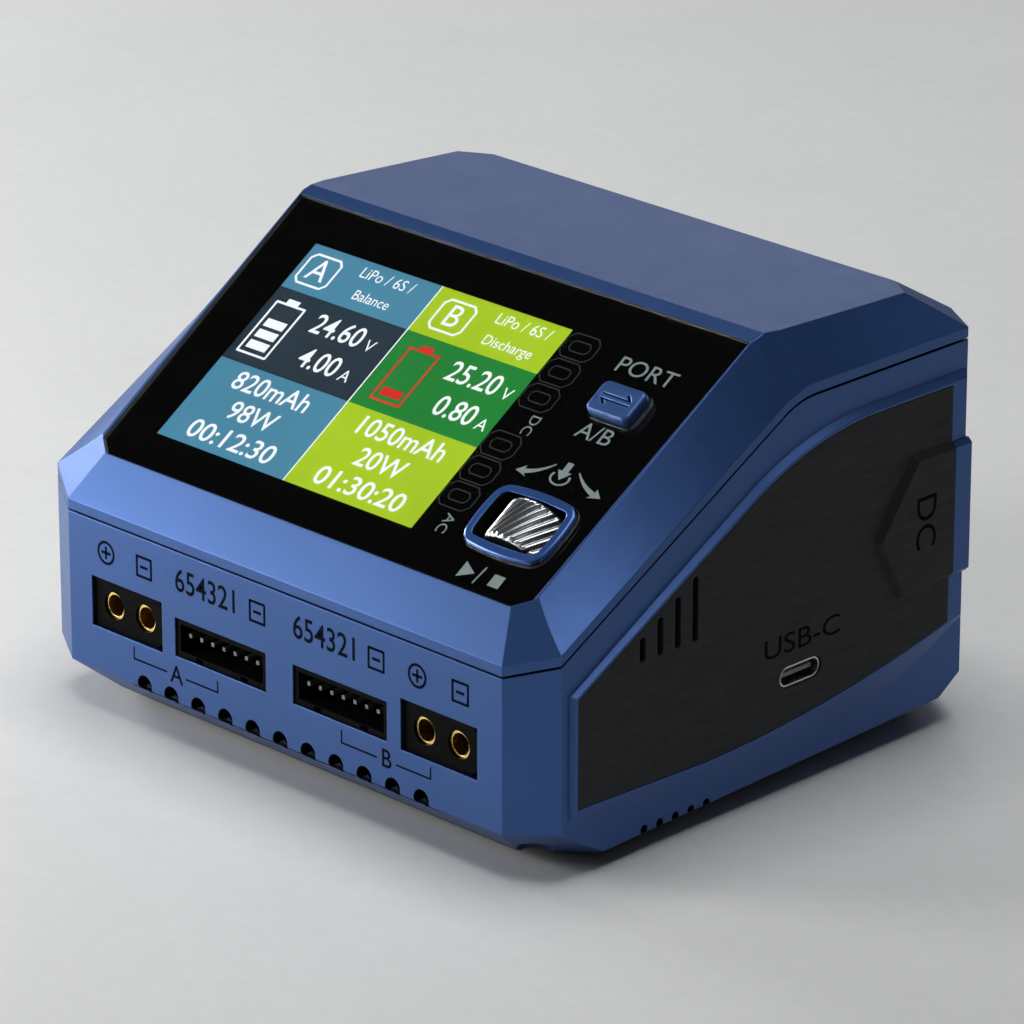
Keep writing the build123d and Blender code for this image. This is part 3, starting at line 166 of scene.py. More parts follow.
def moulded(name, base, rough=0.45, metallic=0.0, grain=2600.0, grain_depth=0.00002, edge=0.0004,
            edge_wear_and_highlight=1.5, variation=0.08, coat=0.0, coat_rough=0.3, specular=0.5, rough_span=0.08, painted_shade_reach=0.0):
    """A moulded or painted surface: fine grain, slow colour drift, brighter edges that are partly abrasion
    and partly a painted highlight, and faint scuffs.

    The edge is the radius of the rounding, and the last argument is how far away a neighbouring wall darkens
    the colour with painted shade.
    """
    mat, tree, shader = new_material(name)
    vector = coords(tree)
    slow = noise(tree, vector, 26.0, 4.0)
    fine = noise(tree, vector, grain, 2.0)
    scuff = noise(tree, coords(tree, (1, 1, 7), (0.3, 0.5, 0.2)), 160.0, 5.0, 0.65)
    normal, edges = rounded_edges(tree, edge)
    dark = tuple(c * (1 - variation) for c in base)
    light = tuple(min(1.0, c * (1 + variation)) for c in base)
    colour = ramp(tree, slow, [(0.3, dark), (0.7, light)])
    speckle = span(tree, fine, 1 - variation, 1 + variation, 0.3, 0.7)
    colour = mix(tree, 1.0, colour, speckle, "MULTIPLY")
    # Brighter edges: partly abrasion, partly a painted highlight along the rounded edges.
    worn_and_highlit = tuple(min(1.0, c * edge_wear_and_highlight + 0.01 * (edge_wear_and_highlight - 1)) for c in base)
    rubbed_and_highlit = math_node(tree, "MULTIPLY", edges, span(tree, scuff, 0.25, 1.0, 0.35, 0.65))
    colour = mix(tree, rubbed_and_highlit, colour, worn_and_highlit)
    # Painted shade: ambient occlusion darkens the colour in holes, grooves and corners near other walls.
    if painted_shade_reach:
        occlusion_shade = tree.nodes.new("ShaderNodeAmbientOcclusion")
        occlusion_shade.samples = 6
        occlusion_shade.inputs["Distance"].default_value = painted_shade_reach
        shade = span(tree, occlusion_shade.outputs["AO"], 0.02, 1.0, 0.42, 0.8)
        colour = mix(tree, 1.0, colour, shade, "MULTIPLY")
    link(tree, colour, shader.inputs["Base Color"])
    drift = span(tree, scuff, rough - rough_span, rough + rough_span, 0.3, 0.7)
    smoother = math_node(tree, "MULTIPLY", rubbed_and_highlit, 0.08)
    link(tree, math_node(tree, "SUBTRACT", drift, smoother), shader.inputs["Roughness"])
    link(tree, bump(tree, fine, 0.5, grain_depth, normal), shader.inputs["Normal"])
    shader.inputs["Metallic"].default_value = metallic
    shader.inputs["Specular IOR Level"].default_value = specular
    shader.inputs["Coat Weight"].default_value = coat
    shader.inputs["Coat Roughness"].default_value = coat_rough
    return mat


def metal(name, base, rough=0.3, brush=(1, 1, 40), edge=0.0002, tarnish=0.1):
    """Bare or plated metal with drawn marks and slight tarnish."""
    mat, tree, shader = new_material(name)
    marks = noise(tree, coords(tree, brush), 900.0, 4.0, 0.6)
    slow = noise(tree, coords(tree), 140.0, 4.0)
    normal, edges = rounded_edges(tree, edge)
    dull = tuple(c * (1 - 2.5 * tarnish) for c in base)
    colour = ramp(tree, slow, [(0.3, dull), (0.62, base)])
    # Painted highlight: the colour is lighter along the rounded edges.
    edge_highlight_colour = tuple(min(1.0, c * 1.15) for c in base)
    colour = mix(tree, math_node(tree, "MULTIPLY", edges, 0.6), colour, edge_highlight_colour)
    link(tree, colour, shader.inputs["Base Color"])
    link(tree, span(tree, marks, rough - 0.08, rough + 0.12, 0.3, 0.7), shader.inputs["Roughness"])
    link(tree, bump(tree, marks, 0.3, 0.00001, normal), shader.inputs["Normal"])
    shader.inputs["Metallic"].default_value = 1.0
    return mat


def glow(name, base, strength, drift=0.06, pitch=0.00028):
    """A lit area of the display, with its pixel rows and a little unevenness of the backlight."""
    mat, tree, shader = new_material(name)
    vector = coords(tree)
    slow = noise(tree, vector, 45.0, 2.0)
    rows = tree.nodes.new("ShaderNodeTexWave")
    rows.bands_direction = "X"
    rows.inputs["Scale"].default_value = 1.0 / pitch / 20.0 * pi
    link(tree, vector, rows.inputs["Vector"])
    low = tuple(c * (1 - drift) for c in base)
    high = tuple(min(1.0, c * (1 + drift)) for c in base)
    colour = ramp(tree, slow, [(0.3, low), (0.7, high)])
    colour = mix(tree, 1.0, colour, span(tree, rows.outputs["Fac"], 0.94, 1.03), "MULTIPLY")
    link(tree, colour, shader.inputs["Emission Color"])
    shader.inputs["Base Color"].default_value = (0.004, 0.004, 0.005, 1.0)
    shader.inputs["Emission Strength"].default_value = strength
    shader.inputs["Roughness"].default_value = 0.6
    return mat


def printed(name, base, rough=0.55, patchy=0.12, specular=0.5):
    """Screen-printed ink, slightly uneven in cover."""
    mat, tree, shader = new_material(name)
    vector = coords(tree)
    cover = noise(tree, vector, 1500.0, 3.0)
    colour = ramp(tree, cover, [(0.3, tuple(c * (1 - patchy) for c in base)), (0.7, base)])
    link(tree, colour, shader.inputs["Base Color"])
    link(tree, span(tree, cover, rough - 0.06, rough + 0.06, 0.3, 0.7), shader.inputs["Roughness"])
    link(tree, bump(tree, cover, 0.3, 0.00001), shader.inputs["Normal"])
    shader.inputs["Specular IOR Level"].default_value = specular
    return mat


def srgb(r, g, b):
    """Linear colour of an 8-bit screen colour."""
    return tuple(((c / 255 + 0.055) / 1.055) ** 2.4 if c > 10 else c / 255 / 12.92 for c in (r, g, b))


# ------------------------------------------------------------------ materials
blue = moulded("case_blue", (0.036, 0.097, 0.29), rough=0.40, metallic=0.62, grain=3200.0,
               grain_depth=0.000012, edge=0.00022, edge_wear_and_highlight=1.5, variation=0.05, coat=0.08, coat_rough=0.35,
               rough_span=0.025, painted_shade_reach=0.0032)
key_blue = moulded("key_blue", (0.042, 0.112, 0.33), rough=0.4, metallic=0.5, grain=3200.0,
                   grain_depth=0.000012, edge=0.0004, edge_wear_and_highlight=1.9, variation=0.05, coat=0.2)
bezel_blue = moulded("bezel_blue", (0.045, 0.125, 0.40), rough=0.25, metallic=0.45, grain=3200.0,
                     grain_depth=0.000006, edge=0.0003, edge_wear_and_highlight=1.7, variation=0.04, coat=0.3, coat_rough=0.15,
                     rough_span=0.02)
grey_panel = moulded("panel_grey", (0.0105, 0.0115, 0.0135), rough=0.60, grain=1900.0,
                     grain_depth=0.00005, edge=0.0003, edge_wear_and_highlight=2.2, variation=0.16, specular=0.35)
rear_grey = moulded("rear_grey", (0.020, 0.021, 0.024), rough=0.6, grain=1700.0,
                    grain_depth=0.00005, edge=0.0003, edge_wear_and_highlight=2.0, variation=0.16, specular=0.35)
nylon = moulded("black_nylon", (0.010, 0.010, 0.011), rough=0.42, grain=2400.0,
                grain_depth=0.00001, edge=0.0002, edge_wear_and_highlight=2.5, variation=0.2)
port_nylon = moulded("port_nylon", (0.003, 0.0033, 0.0033), rough=0.62, grain=2400.0,
                     grain_depth=0.00001, edge=0.00015, edge_wear_and_highlight=2.0, variation=0.2, specular=0.04)
tongue_plastic = moulded("tongue_plastic", (0.20, 0.21, 0.22), rough=0.4, grain=2400.0,
                         grain_depth=0.00001, edge=0.0001, variation=0.1)
package = moulded("package", (0.014, 0.014, 0.015), rough=0.5, grain=3000.0,
                  grain_depth=0.00002, edge=0.0001, variation=0.2)
rubber = moulded("foot_rubber", (0.012, 0.012, 0.012), rough=0.78, grain=1800.0, grain_depth=0.00008,
                 edge=0.0004, edge_wear_and_highlight=1.6, variation=0.2, specular=0.25)
lead_cover = moulded("lead_cover", (0.014, 0.012, 0.012), rough=0.5, grain=900.0,
                     grain_depth=0.00002, edge=0.0001, variation=0.15)
board_green = moulded("board_green", (0.008, 0.075, 0.035), rough=0.32, grain=420.0, grain_depth=0.00002,
                      edge=0.0001, edge_wear_and_highlight=1.2, variation=0.3, coat=0.3)
board_blue = moulded("board_blue", (0.006, 0.02, 0.07), rough=0.32, grain=420.0, grain_depth=0.00002,
                     edge=0.0001, edge_wear_and_highlight=1.2, variation=0.3, coat=0.3)
ferrite = moulded("ferrite", (0.035, 0.035, 0.038), rough=0.5, metallic=0.2, grain=1500.0,
                  grain_depth=0.00003, edge=0.0002, edge_wear_and_highlight=1.6, variation=0.15)
tape = moulded("winding_tape", (0.55, 0.34, 0.05), rough=0.3, grain=600.0,
               grain_depth=0.00002, edge=0.0002, edge_wear_and_highlight=1.1)
sleeve = moulded("can_sleeve", (0.02, 0.028, 0.05), rough=0.28, grain=500.0,
                 grain_depth=0.00001, edge=0.0002, edge_wear_and_highlight=1.4, coat=0.3)
film = moulded("ribbon_film", (0.35, 0.17, 0.04), rough=0.35, grain=700.0,
               grain_depth=0.00001, edge=0.0001)
fuse_cover = moulded("fuse_cover", (0.4, 0.42, 0.42), rough=0.2, grain=700.0,
                     grain_depth=0.00001, edge=0.0002)
silver = metal("roller_silver", (0.78, 0.79, 0.80), rough=0.24, brush=(60, 60, 1), edge=0.00008, tarnish=0.05)
gold = metal("contact_gold", (0.90, 0.62, 0.20), rough=0.22, edge=0.0001, tarnish=0.06)
header_tin = metal("header_tin", (0.20, 0.21, 0.20), rough=0.42, edge=0.00008, tarnish=0.1)
tin = metal("pin_tin", (0.78, 0.76, 0.70), rough=0.26, edge=0.00008, tarnish=0.06)
steel = metal("steel", (0.62, 0.62, 0.63), rough=0.28, edge=0.0001, tarnish=0.06)
black_steel = metal("black_steel", (0.045, 0.045, 0.05), rough=0.34, edge=0.0002, tarnish=0.08)
fin_alloy = metal("fin_alloy", (0.66, 0.67, 0.68), rough=0.36, edge=0.0001, tarnish=0.05)


def along(tree, vector, direction, offset=0.0):
    """How far a point lies along a direction, measured from the offset."""
    dot = tree.nodes.new("ShaderNodeVectorMath")
    dot.operation = "DOT_PRODUCT"
    link(tree, vector, dot.inputs[0])
    dot.inputs[1].default_value = direction
    return math_node(tree, "SUBTRACT", dot.outputs["Value"], offset)


def all_of(tree, first, *others):
    """1 where every test is 1."""
    for other in others:
        first = math_node(tree, "MULTIPLY", first, other)
    return first


def blacken(material, inside):
    """Paints a material black where the mask is 1."""
    shader = material.node_tree.nodes["Principled BSDF"]
    paint = shader.inputs["Base Color"].links[0].from_socket
    black = mix(material.node_tree, inside, paint, (0.002, 0.002, 0.003))
    link(material.node_tree, black, shader.inputs["Base Color"])


def inner_well(material, half_wide, half_high, depth_below):
    """Turns black what lies inside the roller's window, below the bezel's face. In millimetres."""
    tree = material.node_tree
    vector = coords(tree)
    s_dir, n_dir = (0.0, cos(slope), sin(slope)), (0.0, -sin(slope), cos(slope))
    middle_y = (panel_foot_y + roller_s * cos(slope)) * MM
    middle_z = (panel_foot_z + roller_s * sin(slope)) * MM
    s_mid = middle_y * s_dir[1] + middle_z * s_dir[2]
    n_mid = middle_y * n_dir[1] + middle_z * n_dir[2]
    wide = math_node(tree, "ABSOLUTE", along(tree, vector, (1.0, 0.0, 0.0), roller_x * MM))
    high = math_node(tree, "ABSOLUTE", along(tree, vector, s_dir, s_mid))
    deep = along(tree, vector, n_dir, n_mid + depth_below * MM)
    blacken(material, all_of(tree, math_node(tree, "LESS_THAN", wide, half_wide * MM),
                             math_node(tree, "LESS_THAN", high, half_high * MM),
                             math_node(tree, "LESS_THAN", deep, 0.0)))


def shade_vent_bores(material, radius, wall_y):
    """Paints shade into the front vents: the walls within the radius of a vent's axis are turned black."""
    tree = material.node_tree
    vector = coords(tree)
    aside = along(tree, vector, (1.0, 0.0, 0.0))
    nearest = math_node(tree, "PINGPONG", aside, vent_pitch * MM / 2)
    up = along(tree, vector, (0.0, 0.0, 1.0), vent_z * MM)
    apart = math_node(tree, "ADD", math_node(tree, "MULTIPLY", nearest, nearest),
                      math_node(tree, "MULTIPLY", up, up))
    inside = math_node(tree, "LESS_THAN", apart, (radius * MM) ** 2)
    row_end = vent_count * vent_pitch * MM / 2
    in_row = math_node(tree, "LESS_THAN", math_node(tree, "ABSOLUTE", aside), row_end)
    in_wall = math_node(tree, "LESS_THAN", along(tree, vector, (0.0, 1.0, 0.0)), wall_y * MM)
    blacken(material, all_of(tree, inside, in_row, in_wall))


inner_well(bezel_blue, 7.8, 5.5, 0.45)
# Painted shade: the walls of the front vents are turned black.
shade_vent_bores(blue, vent_r + 0.03, -40.0)


def glass_material():
    """Clear hard-coated window with faint wiping marks and blackened edges."""
    mat, tree, shader = new_material("window_glass")
    wipe = noise(tree, coords(tree, (1, 6, 1), (0, 0, 0.6)), 60.0, 5.0, 0.6)
    tint = ramp(tree, wipe, [(0.2, (0.93, 0.95, 0.97)), (0.8, (0.97, 0.98, 0.99))])
    where = tree.nodes.new("ShaderNodeNewGeometry")
    outward = (0.0, -sin(slope), cos(slope))
    facing = math_node(tree, "ABSOLUTE", along(tree, where.outputs["True Normal"], outward))
    face = math_node(tree, "GREATER_THAN", facing, 0.9)
    link(tree, mix(tree, face, (0.0, 0.0, 0.0), tint), shader.inputs["Base Color"])
    dull = span(tree, wipe, 0.915, 0.96, 0.35, 0.7)
    polished = math_node(tree, "MULTIPLY", face, 0.9)
    link(tree, math_node(tree, "SUBTRACT", dull, polished), shader.inputs["Roughness"])
    shader.inputs["Transmission Weight"].default_value = 1.0
    shader.inputs["IOR"].default_value = 1.49
    return mat


window = glass_material()
mask_black = printed("window_mask", (0.0008, 0.0009, 0.0012), rough=0.9, patchy=0.3, specular=0.0)
lcd_dark = moulded("lcd_case", (0.02, 0.021, 0.023), rough=0.4, grain=900.0, grain_depth=0.00001, edge=0.0002)

finish = {
    "lower_shell": blue, "top_cover": blue, "port_button": key_blue, "roller_bezel": bezel_blue,
    "side_panel_left": grey_panel, "side_panel_right": grey_panel, "rear_panel": rear_grey,
    "display_glass": window, "lcd_module": lcd_dark, "display_ribbon": film,
    "port_switch": nylon, "roller_switch": nylon, "roller_carrier": nylon, "roller_encoder": package,
    "scroll_roller": silver, "ui_board": board_blue, "main_board": board_green, "psu_board": board_green,
    "usb_board": board_green, "output_socket_a": port_nylon, "output_socket_b": port_nylon,
    "socket_contacts_a": gold, "socket_contacts_b": gold, "balance_header_a": port_nylon,
    "balance_header_b": port_nylon, "balance_pins_a": header_tin, "balance_pins_b": header_tin,
    "usb_c_shell": steel, "usb_c_tongue": tongue_plastic, "usb_header": nylon, "dc_inlet": nylon,
    "dc_pins": gold, "dc_leads": lead_cover, "ac_inlet": nylon, "ac_pins": tin, "ac_leads": lead_cover,
    "fan_frame": nylon, "fan_rotor": nylon, "heatsink_a": fin_alloy, "heatsink_b": fin_alloy,
    "primary_heatsink": fin_alloy, "mosfets": package, "control_chips": package, "buzzer": package,
    "inductor_a": ferrite, "inductor_b": ferrite, "transformer_core": ferrite, "choke": ferrite,
    "transformer_winding": tape, "output_capacitors": sleeve, "psu_capacitors": sleeve,
    "bulk_capacitor": sleeve, "board_spacers": steel, "fuse_holder": fuse_cover,
    "case_screws": black_steel, "fan_screws": black_steel, "board_screws": steel, "ui_screws": steel,
    "feet": rubber,
}
for name, obj in nodes.items():
    obj.data.materials.clear()
    obj.data.materials.append(finish[name])


# ------------------------------------------------------------------ surfaces that carry graphics
PANEL = Matrix((
    (1, 0, 0, 0),
    (0, cos(slope), -sin(slope), panel_foot_y),
    (0, sin(slope), cos(slope), panel_foot_z),
    (0, 0, 0, 1),
))
FRONT = Matrix(((1, 0, 0, 0), (0, 0, -1, front_y), (0, 1, 0, 0), (0, 0, 0, 1)))
REAR = Matrix(((-1, 0, 0, 0), (0, 0, 1, rear_y), (0, 1, 0, 0), (0, 0, 0, 1)))
RIGHT = Matrix((
    (sin(side_turn), 0, cos(side_turn), side_x),
    (cos(side_turn), 0, -sin(side_turn), side_start_y),
    (0, 1, 0, 0),
    (0, 0, 0, 1),
))
LEFT = Matrix((
    (-sin(side_turn), 0, -cos(side_turn), -side_x),
    (cos(side_turn), 0, -sin(side_turn), side_start_y),
    (0, 1, 0, 0),
    (0, 0, 0, 1),
))


class Graphic:
    """Flat shapes laid on one surface, in millimetres, gathered into one mesh."""

    def __init__(self, name, surface, lift):
        self.name = name
        self.surface = surface
        self.lift = lift
        self.vertices = []
        self.faces = []
        self.slots = []
        self.materials = []

    def _slot(self, material):
        if material not in self.materials:
            self.materials.append(material)
        return self.materials.index(material)

    def shape(self, points, material, lift=0.0):
        start = len(self.vertices)
        self.vertices += [(x, y, self.lift + lift) for x, y in points]
        self.faces.append(tuple(range(start, start + len(points))))
        self.slots.append(self._slot(material))

    def box(self, x0, y0, x1, y1, material, lift=0.0):
        self.shape([(x0, y0), (x1, y0), (x1, y1), (x0, y1)], material, lift)

    def stroke(self, points, width, material, closed=False, lift=0.0):
        """A line of even width along the points, as one quad for each run and a fan at each corner."""
        runs = zip(points, points[1:] + points[:1] if closed else points[1:])
        half = width / 2
        for (x0, y0), (x1, y1) in runs:
            length = ((x1 - x0) ** 2 + (y1 - y0) ** 2) ** 0.5
            ux, uy = (x1 - x0) / length, (y1 - y0) / length
            px, py = -uy * half, ux * half
            self.shape([(x1 + px, y1 + py), (x1 - px, y1 - py), (x0 - px, y0 - py), (x0 + px, y0 + py)],
                       material, lift)
        for x, y in points if closed else points[1:-1]:
            fan = [(x + half * cos(2 * pi * k / 10), y + half * sin(2 * pi * k / 10)) for k in range(10)]
            self.shape(fan, material, lift)

    def ring(self, x, y, r, width, material, start=0.0, end=360.0, squash=1.0):
        """A circle, or an arc from start to end in degrees, of even width."""
        steps = 28
        pts = []
        for k in range(steps + 1):
            a = radians(start + (end - start) * k / steps)
            pts.append((cos(a), sin(a) * squash))
        for (c0, s0), (c1, s1) in zip(pts, pts[1:]):
            inner, outer = r - width / 2, r + width / 2
            self.shape([(x + inner * c0, y + inner * s0), (x + outer * c0, y + outer * s0),
                        (x + outer * c1, y + outer * s1), (x + inner * c1, y + inner * s1)], material)

    def text(self, words, x, y, height, material, align="CENTER", stretch=1.0, turn=0.0, weight=0.0,
             lift=0.0):
        """Plain lettering from the built-in font: height is a capital's height."""
        curve = bpy.data.curves.new("words", "FONT")
        curve.body = words
        curve.size = height / 0.69
        curve.align_x = align
        curve.align_y = "CENTER"
        curve.offset = weight
        curve.resolution_u = 4
        c, s = cos(radians(turn)), sin(radians(turn))

        def place(a, b):
            return x + a * stretch * c - b * s, y + a * stretch * s + b * c

        self.take(curve, material, place, lift)

    def take(self, curve, material, place, lift=0.0):
        """Adds the filled area of a curve, each point moved to its place."""
        carrier = bpy.data.objects.new("filled", curve)
        bpy.context.scene.collection.objects.link(carrier)
        bpy.context.view_layer.update()
        filled = carrier.evaluated_get(bpy.context.evaluated_depsgraph_get())
        mesh = bpy.data.meshes.new_from_object(filled)
        bpy.data.objects.remove(carrier)
        bpy.data.curves.remove(curve)
        start = len(self.vertices)
        self.vertices += [(*place(v.co.x, v.co.y), self.lift + lift) for v in mesh.vertices]
        index = self._slot(material)
        for p in mesh.polygons:
            self.faces.append(tuple(start + i for i in p.vertices))
            self.slots.append(index)
        bpy.data.meshes.remove(mesh)

    def build(self, body, slot):
        """Makes the mesh, every face outward, riding on the body."""
        mesh = bpy.data.meshes.new(self.name)
        points = [(self.surface @ Vector(v)) * MM for v in self.vertices]
        mesh.from_pydata(points, [], self.faces)
        for material in self.materials:
            mesh.materials.append(material)
        for polygon, index in zip(mesh.polygons, self.slots):
            polygon.material_index = index
        outward = (self.surface.to_3x3() @ Vector((0, 0, 1))).normalized()
        mesh.update()
        for polygon in mesh.polygons:
            if polygon.normal.dot(outward) < 0:
                polygon.flip()
        mesh.update()
        obj = bpy.data.objects.new(self.name, mesh)
        bpy.context.scene.collection.objects.link(obj)
        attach(obj, body)


# ------------------------------------------------------------------ display
teal = glow("lcd_teal", srgb(74, 143, 173), 0.95)
navy = glow("lcd_navy", srgb(24, 48, 62), 0.9)
lime = glow("lcd_lime", srgb(176, 213, 15), 1.0)
green = glow("lcd_green", srgb(10, 138, 44), 0.95)
white = glow("lcd_white", srgb(245, 250, 250), 1.15)
red = glow("lcd_red", srgb(225, 30, 20), 1.0)

screen = Graphic("lcd_picture", PANEL, -1.23)
screen.box(lcd_left, head_low, lcd_mid, lcd_high, teal)
screen.box(lcd_left, mid_low, lcd_mid, head_low, navy)
screen.box(lcd_left, lcd_low, lcd_mid, mid_low, teal)
screen.box(lcd_mid, head_low, lcd_right, lcd_high, lime)
screen.box(lcd_mid, mid_low, lcd_right, head_low, green)
screen.box(lcd_mid, lcd_low, lcd_right, mid_low, lime)
UP = 0.02  # how far the figures stand above the areas
screen.box(lcd_mid - 0.12, lcd_low, lcd_mid + 0.12, lcd_high, white, lift=UP / 2)


def frame_box(graphic, x0, y0, x1, y1, width, material, corner=0.0, lift=UP):
    """An outlined rectangle, with its corners cut if asked."""
    pts = [(x0 + corner, y0), (x1 - corner, y0), (x1, y0 + corner), (x1, y1 - corner),
           (x1 - corner, y1), (x0 + corner, y1), (x0, y1 - corner), (x0, y0 + corner)]
    if not corner:
        pts = [(x0, y0), (x1, y0), (x1, y1), (x0, y1)]
    graphic.stroke(pts, width, material, closed=True, lift=lift)


def battery(graphic, x, y, bars, material):
    """A battery symbol with a cap and a number of charge bars."""
    frame_box(graphic, x - 3.1, y - 5.5, x + 3.1, y + 4.9, 0.42, material)
    graphic.box(x - 1.3, y + 4.9, x + 1.3, y + 6.0, material, lift=UP)
    for k in range(bars):
        low = y - 4.5 + 2.25 * k
        graphic.box(x - 2.15, low, x + 2.15, low + 1.6, material, lift=UP)


def half_screen(graphic, x0, shift, letter, mode, volts, amps, charge, power, clock, bars, symbol):
    """The figures of one channel. The upper ones stand a shift further along, and the lower are centred."""
    middle = x0 + 14.1
    x0 += shift
    frame_box(graphic, x0 + 2.6, head_low + 1.6, x0 + 9.4, lcd_high - 1.7, 0.42, white, corner=0.9)
    graphic.text(letter, x0 + 6.0, 42.85, 4.1, white, lift=UP, weight=0.012)
    graphic.text("LiPo / 6S /", x0 + 19.3, 45.2, 2.05, white, lift=UP, stretch=0.95)
    graphic.text(mode, x0 + 19.3, 41.0, 1.9, white, lift=UP, stretch=0.95)
    battery(graphic, x0 + 6.2, 30.6, bars, symbol)
    graphic.text(volts, x0 + 23.6, 33.9, 3.7, white, "RIGHT", lift=UP, stretch=0.92, weight=0.05)
    graphic.text("V", x0 + 25.6, 33.2, 2.2, white, lift=UP)
    graphic.text(amps, x0 + 23.6, 27.6, 3.7, white, "RIGHT", lift=UP, stretch=0.92, weight=0.05)
    graphic.text("A", x0 + 25.6, 26.9, 2.2, white, lift=UP)
    graphic.text(charge, middle, 20.0, 3.4, white, lift=UP, weight=0.05)
    graphic.text(power, middle, 14.8, 3.4, white, lift=UP, weight=0.05)
    graphic.text(clock, middle, 9.6, 3.4, white, lift=UP, stretch=1.12, weight=0.05)


half_screen(screen, lcd_left, -1.4, "A", "Balance", "24.60", "4.00", "820mAh", "98W", "00:12:30", 3, white)
half_screen(screen, lcd_mid, 0.0, "B", "Discharge", "25.20", "0.80", "1050mAh", "20W", "01:30:20", 1, red)
screen.build("case", "display")

# printed mask behind the window
mask = Graphic("window_mask", PANEL, -1.16)


def rounded(x, y, a, b, corner, bow=0.0):
    """Outline of a rectangle with half sides a and b, rounded corners and sides that bulge by the bow."""
    points = []
    steps = 8
    for quarter, (sx, sy) in enumerate(((1, 1), (-1, 1), (-1, -1), (1, -1))):
        for k in range(steps + 1):
            angle = radians(90 * (quarter + k / steps))
            px = sx * (a - bow - corner) + corner * cos(angle)
            py = sy * (b - bow - corner) + corner * sin(angle)
            px += bow * (1 - (py / b) ** 2) * (1 if px > 0 else -1)
            py += bow * (1 - (px / a) ** 2) * (1 if py > 0 else -1)
            points.append((x + px, y + py))
    return points


def sheet_with_holes(graphic, outlines, material):
    """A flat sheet bounded by the first outline, with the others cut out of it."""
    curve = bpy.data.curves.new("sheet", "CURVE")
    curve.dimensions = "2D"
    curve.fill_mode = "BOTH"
    for outline in outlines:
        spline = curve.splines.new("POLY")
        spline.points.add(len(outline) - 1)
        for point, (x, y) in zip(spline.points, outline):
            point.co = (x, y, 0.0, 1.0)
        spline.use_cyclic_u = True
    graphic.take(curve, material, lambda x, y: (x, y))


rim = [(-43.9, 0.2), (43.9, 0.2), (46.6, 2.4), (48.1, 54.6), (-48.1, 54.6), (-46.6, 2.4)]
lcd_hole = [(lcd_left, lcd_low), (lcd_right, lcd_low), (lcd_right, lcd_high), (lcd_left, lcd_high)]
button_hole = rounded(button_x, button_s, 4.76, 3.36, 1.6)
bezel_hole = rounded(roller_x, roller_s, 7.5, 5.2, 2.0, 0.6)
sheet_with_holes(mask, [rim, lcd_hole, button_hole, bezel_hole], mask_black)
mask.build("case", "display")

# ------------------------------------------------------------------ legends on the window
ink = printed("legend_ink", srgb(134, 150, 150))
dim_ink = printed("dim_ink", srgb(38, 41, 44), specular=0.2)
legend = Graphic("panel_legend", PANEL, 0.012)
legend.text("PORT", 35.7, 44.1, 2.9, ink, stretch=1.12)
legend.text("A/B", 35.5, 31.4, 2.9, ink, stretch=1.1)


def curved_arrow(graphic, start, end, bow, material):
    """A tapering bowed arrow from start to end."""
    shaft_part, head_part, head = 0.78, 0.72, 1.5
    (x0, y0), (x1, y1) = start, end
    dx, dy = x1 - x0, y1 - y0
    length = (dx * dx + dy * dy) ** 0.5
    ux, uy = dx / length, dy / length
    px, py = -uy, ux
    left, right = [], []
    steps = 8
    for k in range(steps + 1):
        t = k / steps * shaft_part
        off = bow * 4 * t * (1 - t)
        half = 0.12 + 0.42 * t
        cx, cy = x0 + dx * t + px * off, y0 + dy * t + py * off
        left.append((cx + px * half, cy + py * half))
        right.append((cx - px * half, cy - py * half))
    for a, b, c, d in zip(left, left[1:], right[1:], right):
        graphic.shape([a, d, c, b], material)
    t = head_part
    off = bow * 4 * t * (1 - t)
    bx, by = x0 + dx * t + px * off, y0 + dy * t + py * off
    graphic.shape([(x1, y1), (bx + px * head * 0.72, by + py * head * 0.72),
                   (bx + ux * 0.5, by + uy * 0.5), (bx - px * head * 0.72, by - py * head * 0.72)], material)


curved_arrow(legend, (33.2, 24.6), (27.2, 21.5), 0.7, ink)
curved_arrow(legend, (38.0, 24.5), (44.6, 21.6), -0.6, ink)
legend.shape([(34.9, 25.6), (34.9, 23.9), (34.1, 23.9), (35.5, 22.2),
              (36.9, 23.9), (36.1, 23.9), (36.1, 25.6)], ink)
legend.ring(35.5, 22.6, 1.75, 0.42, ink, start=150, end=390, squash=0.72)
legend.shape([(31.4, 1.45), (34.2, 2.95), (31.4, 4.45)], ink)
legend.stroke([(35.0, 1.35), (35.4, 4.6)], 0.3, ink)
legend.box(37.6, 1.85, 39.8, 4.05, ink)


def outline_figure(graphic, x, s, width, height, material):
    """A dim outlined block with cut corners, with a smaller one inside it."""
    for shrink in (0.0, 1.35):
        a, b = width / 2 - shrink, height / 2 - shrink
        cut = 1.1 - shrink * 0.4
        pts = [(x - a + cut, s - b), (x + a - cut, s - b), (x + a, s - b + cut), (x + a, s + b - cut),
               (x + a - cut, s + b), (x - a + cut, s + b), (x - a, s + b - cut), (x - a, s - b + cut)]
        graphic.stroke(pts, 0.22, material, closed=True)


for s in (44.6, 39.4, 34.2, 24.5, 19.3, 14.1):
    outline_figure(legend, 21.6, s, 6.6, 4.7, dim_ink)
legend.text("DC", 23.8, 29.3, 1.9, ink, turn=-90)
legend.text("AC", 22.9, 9.0, 1.9, ink, turn=-90)
legend.build("case", "window")

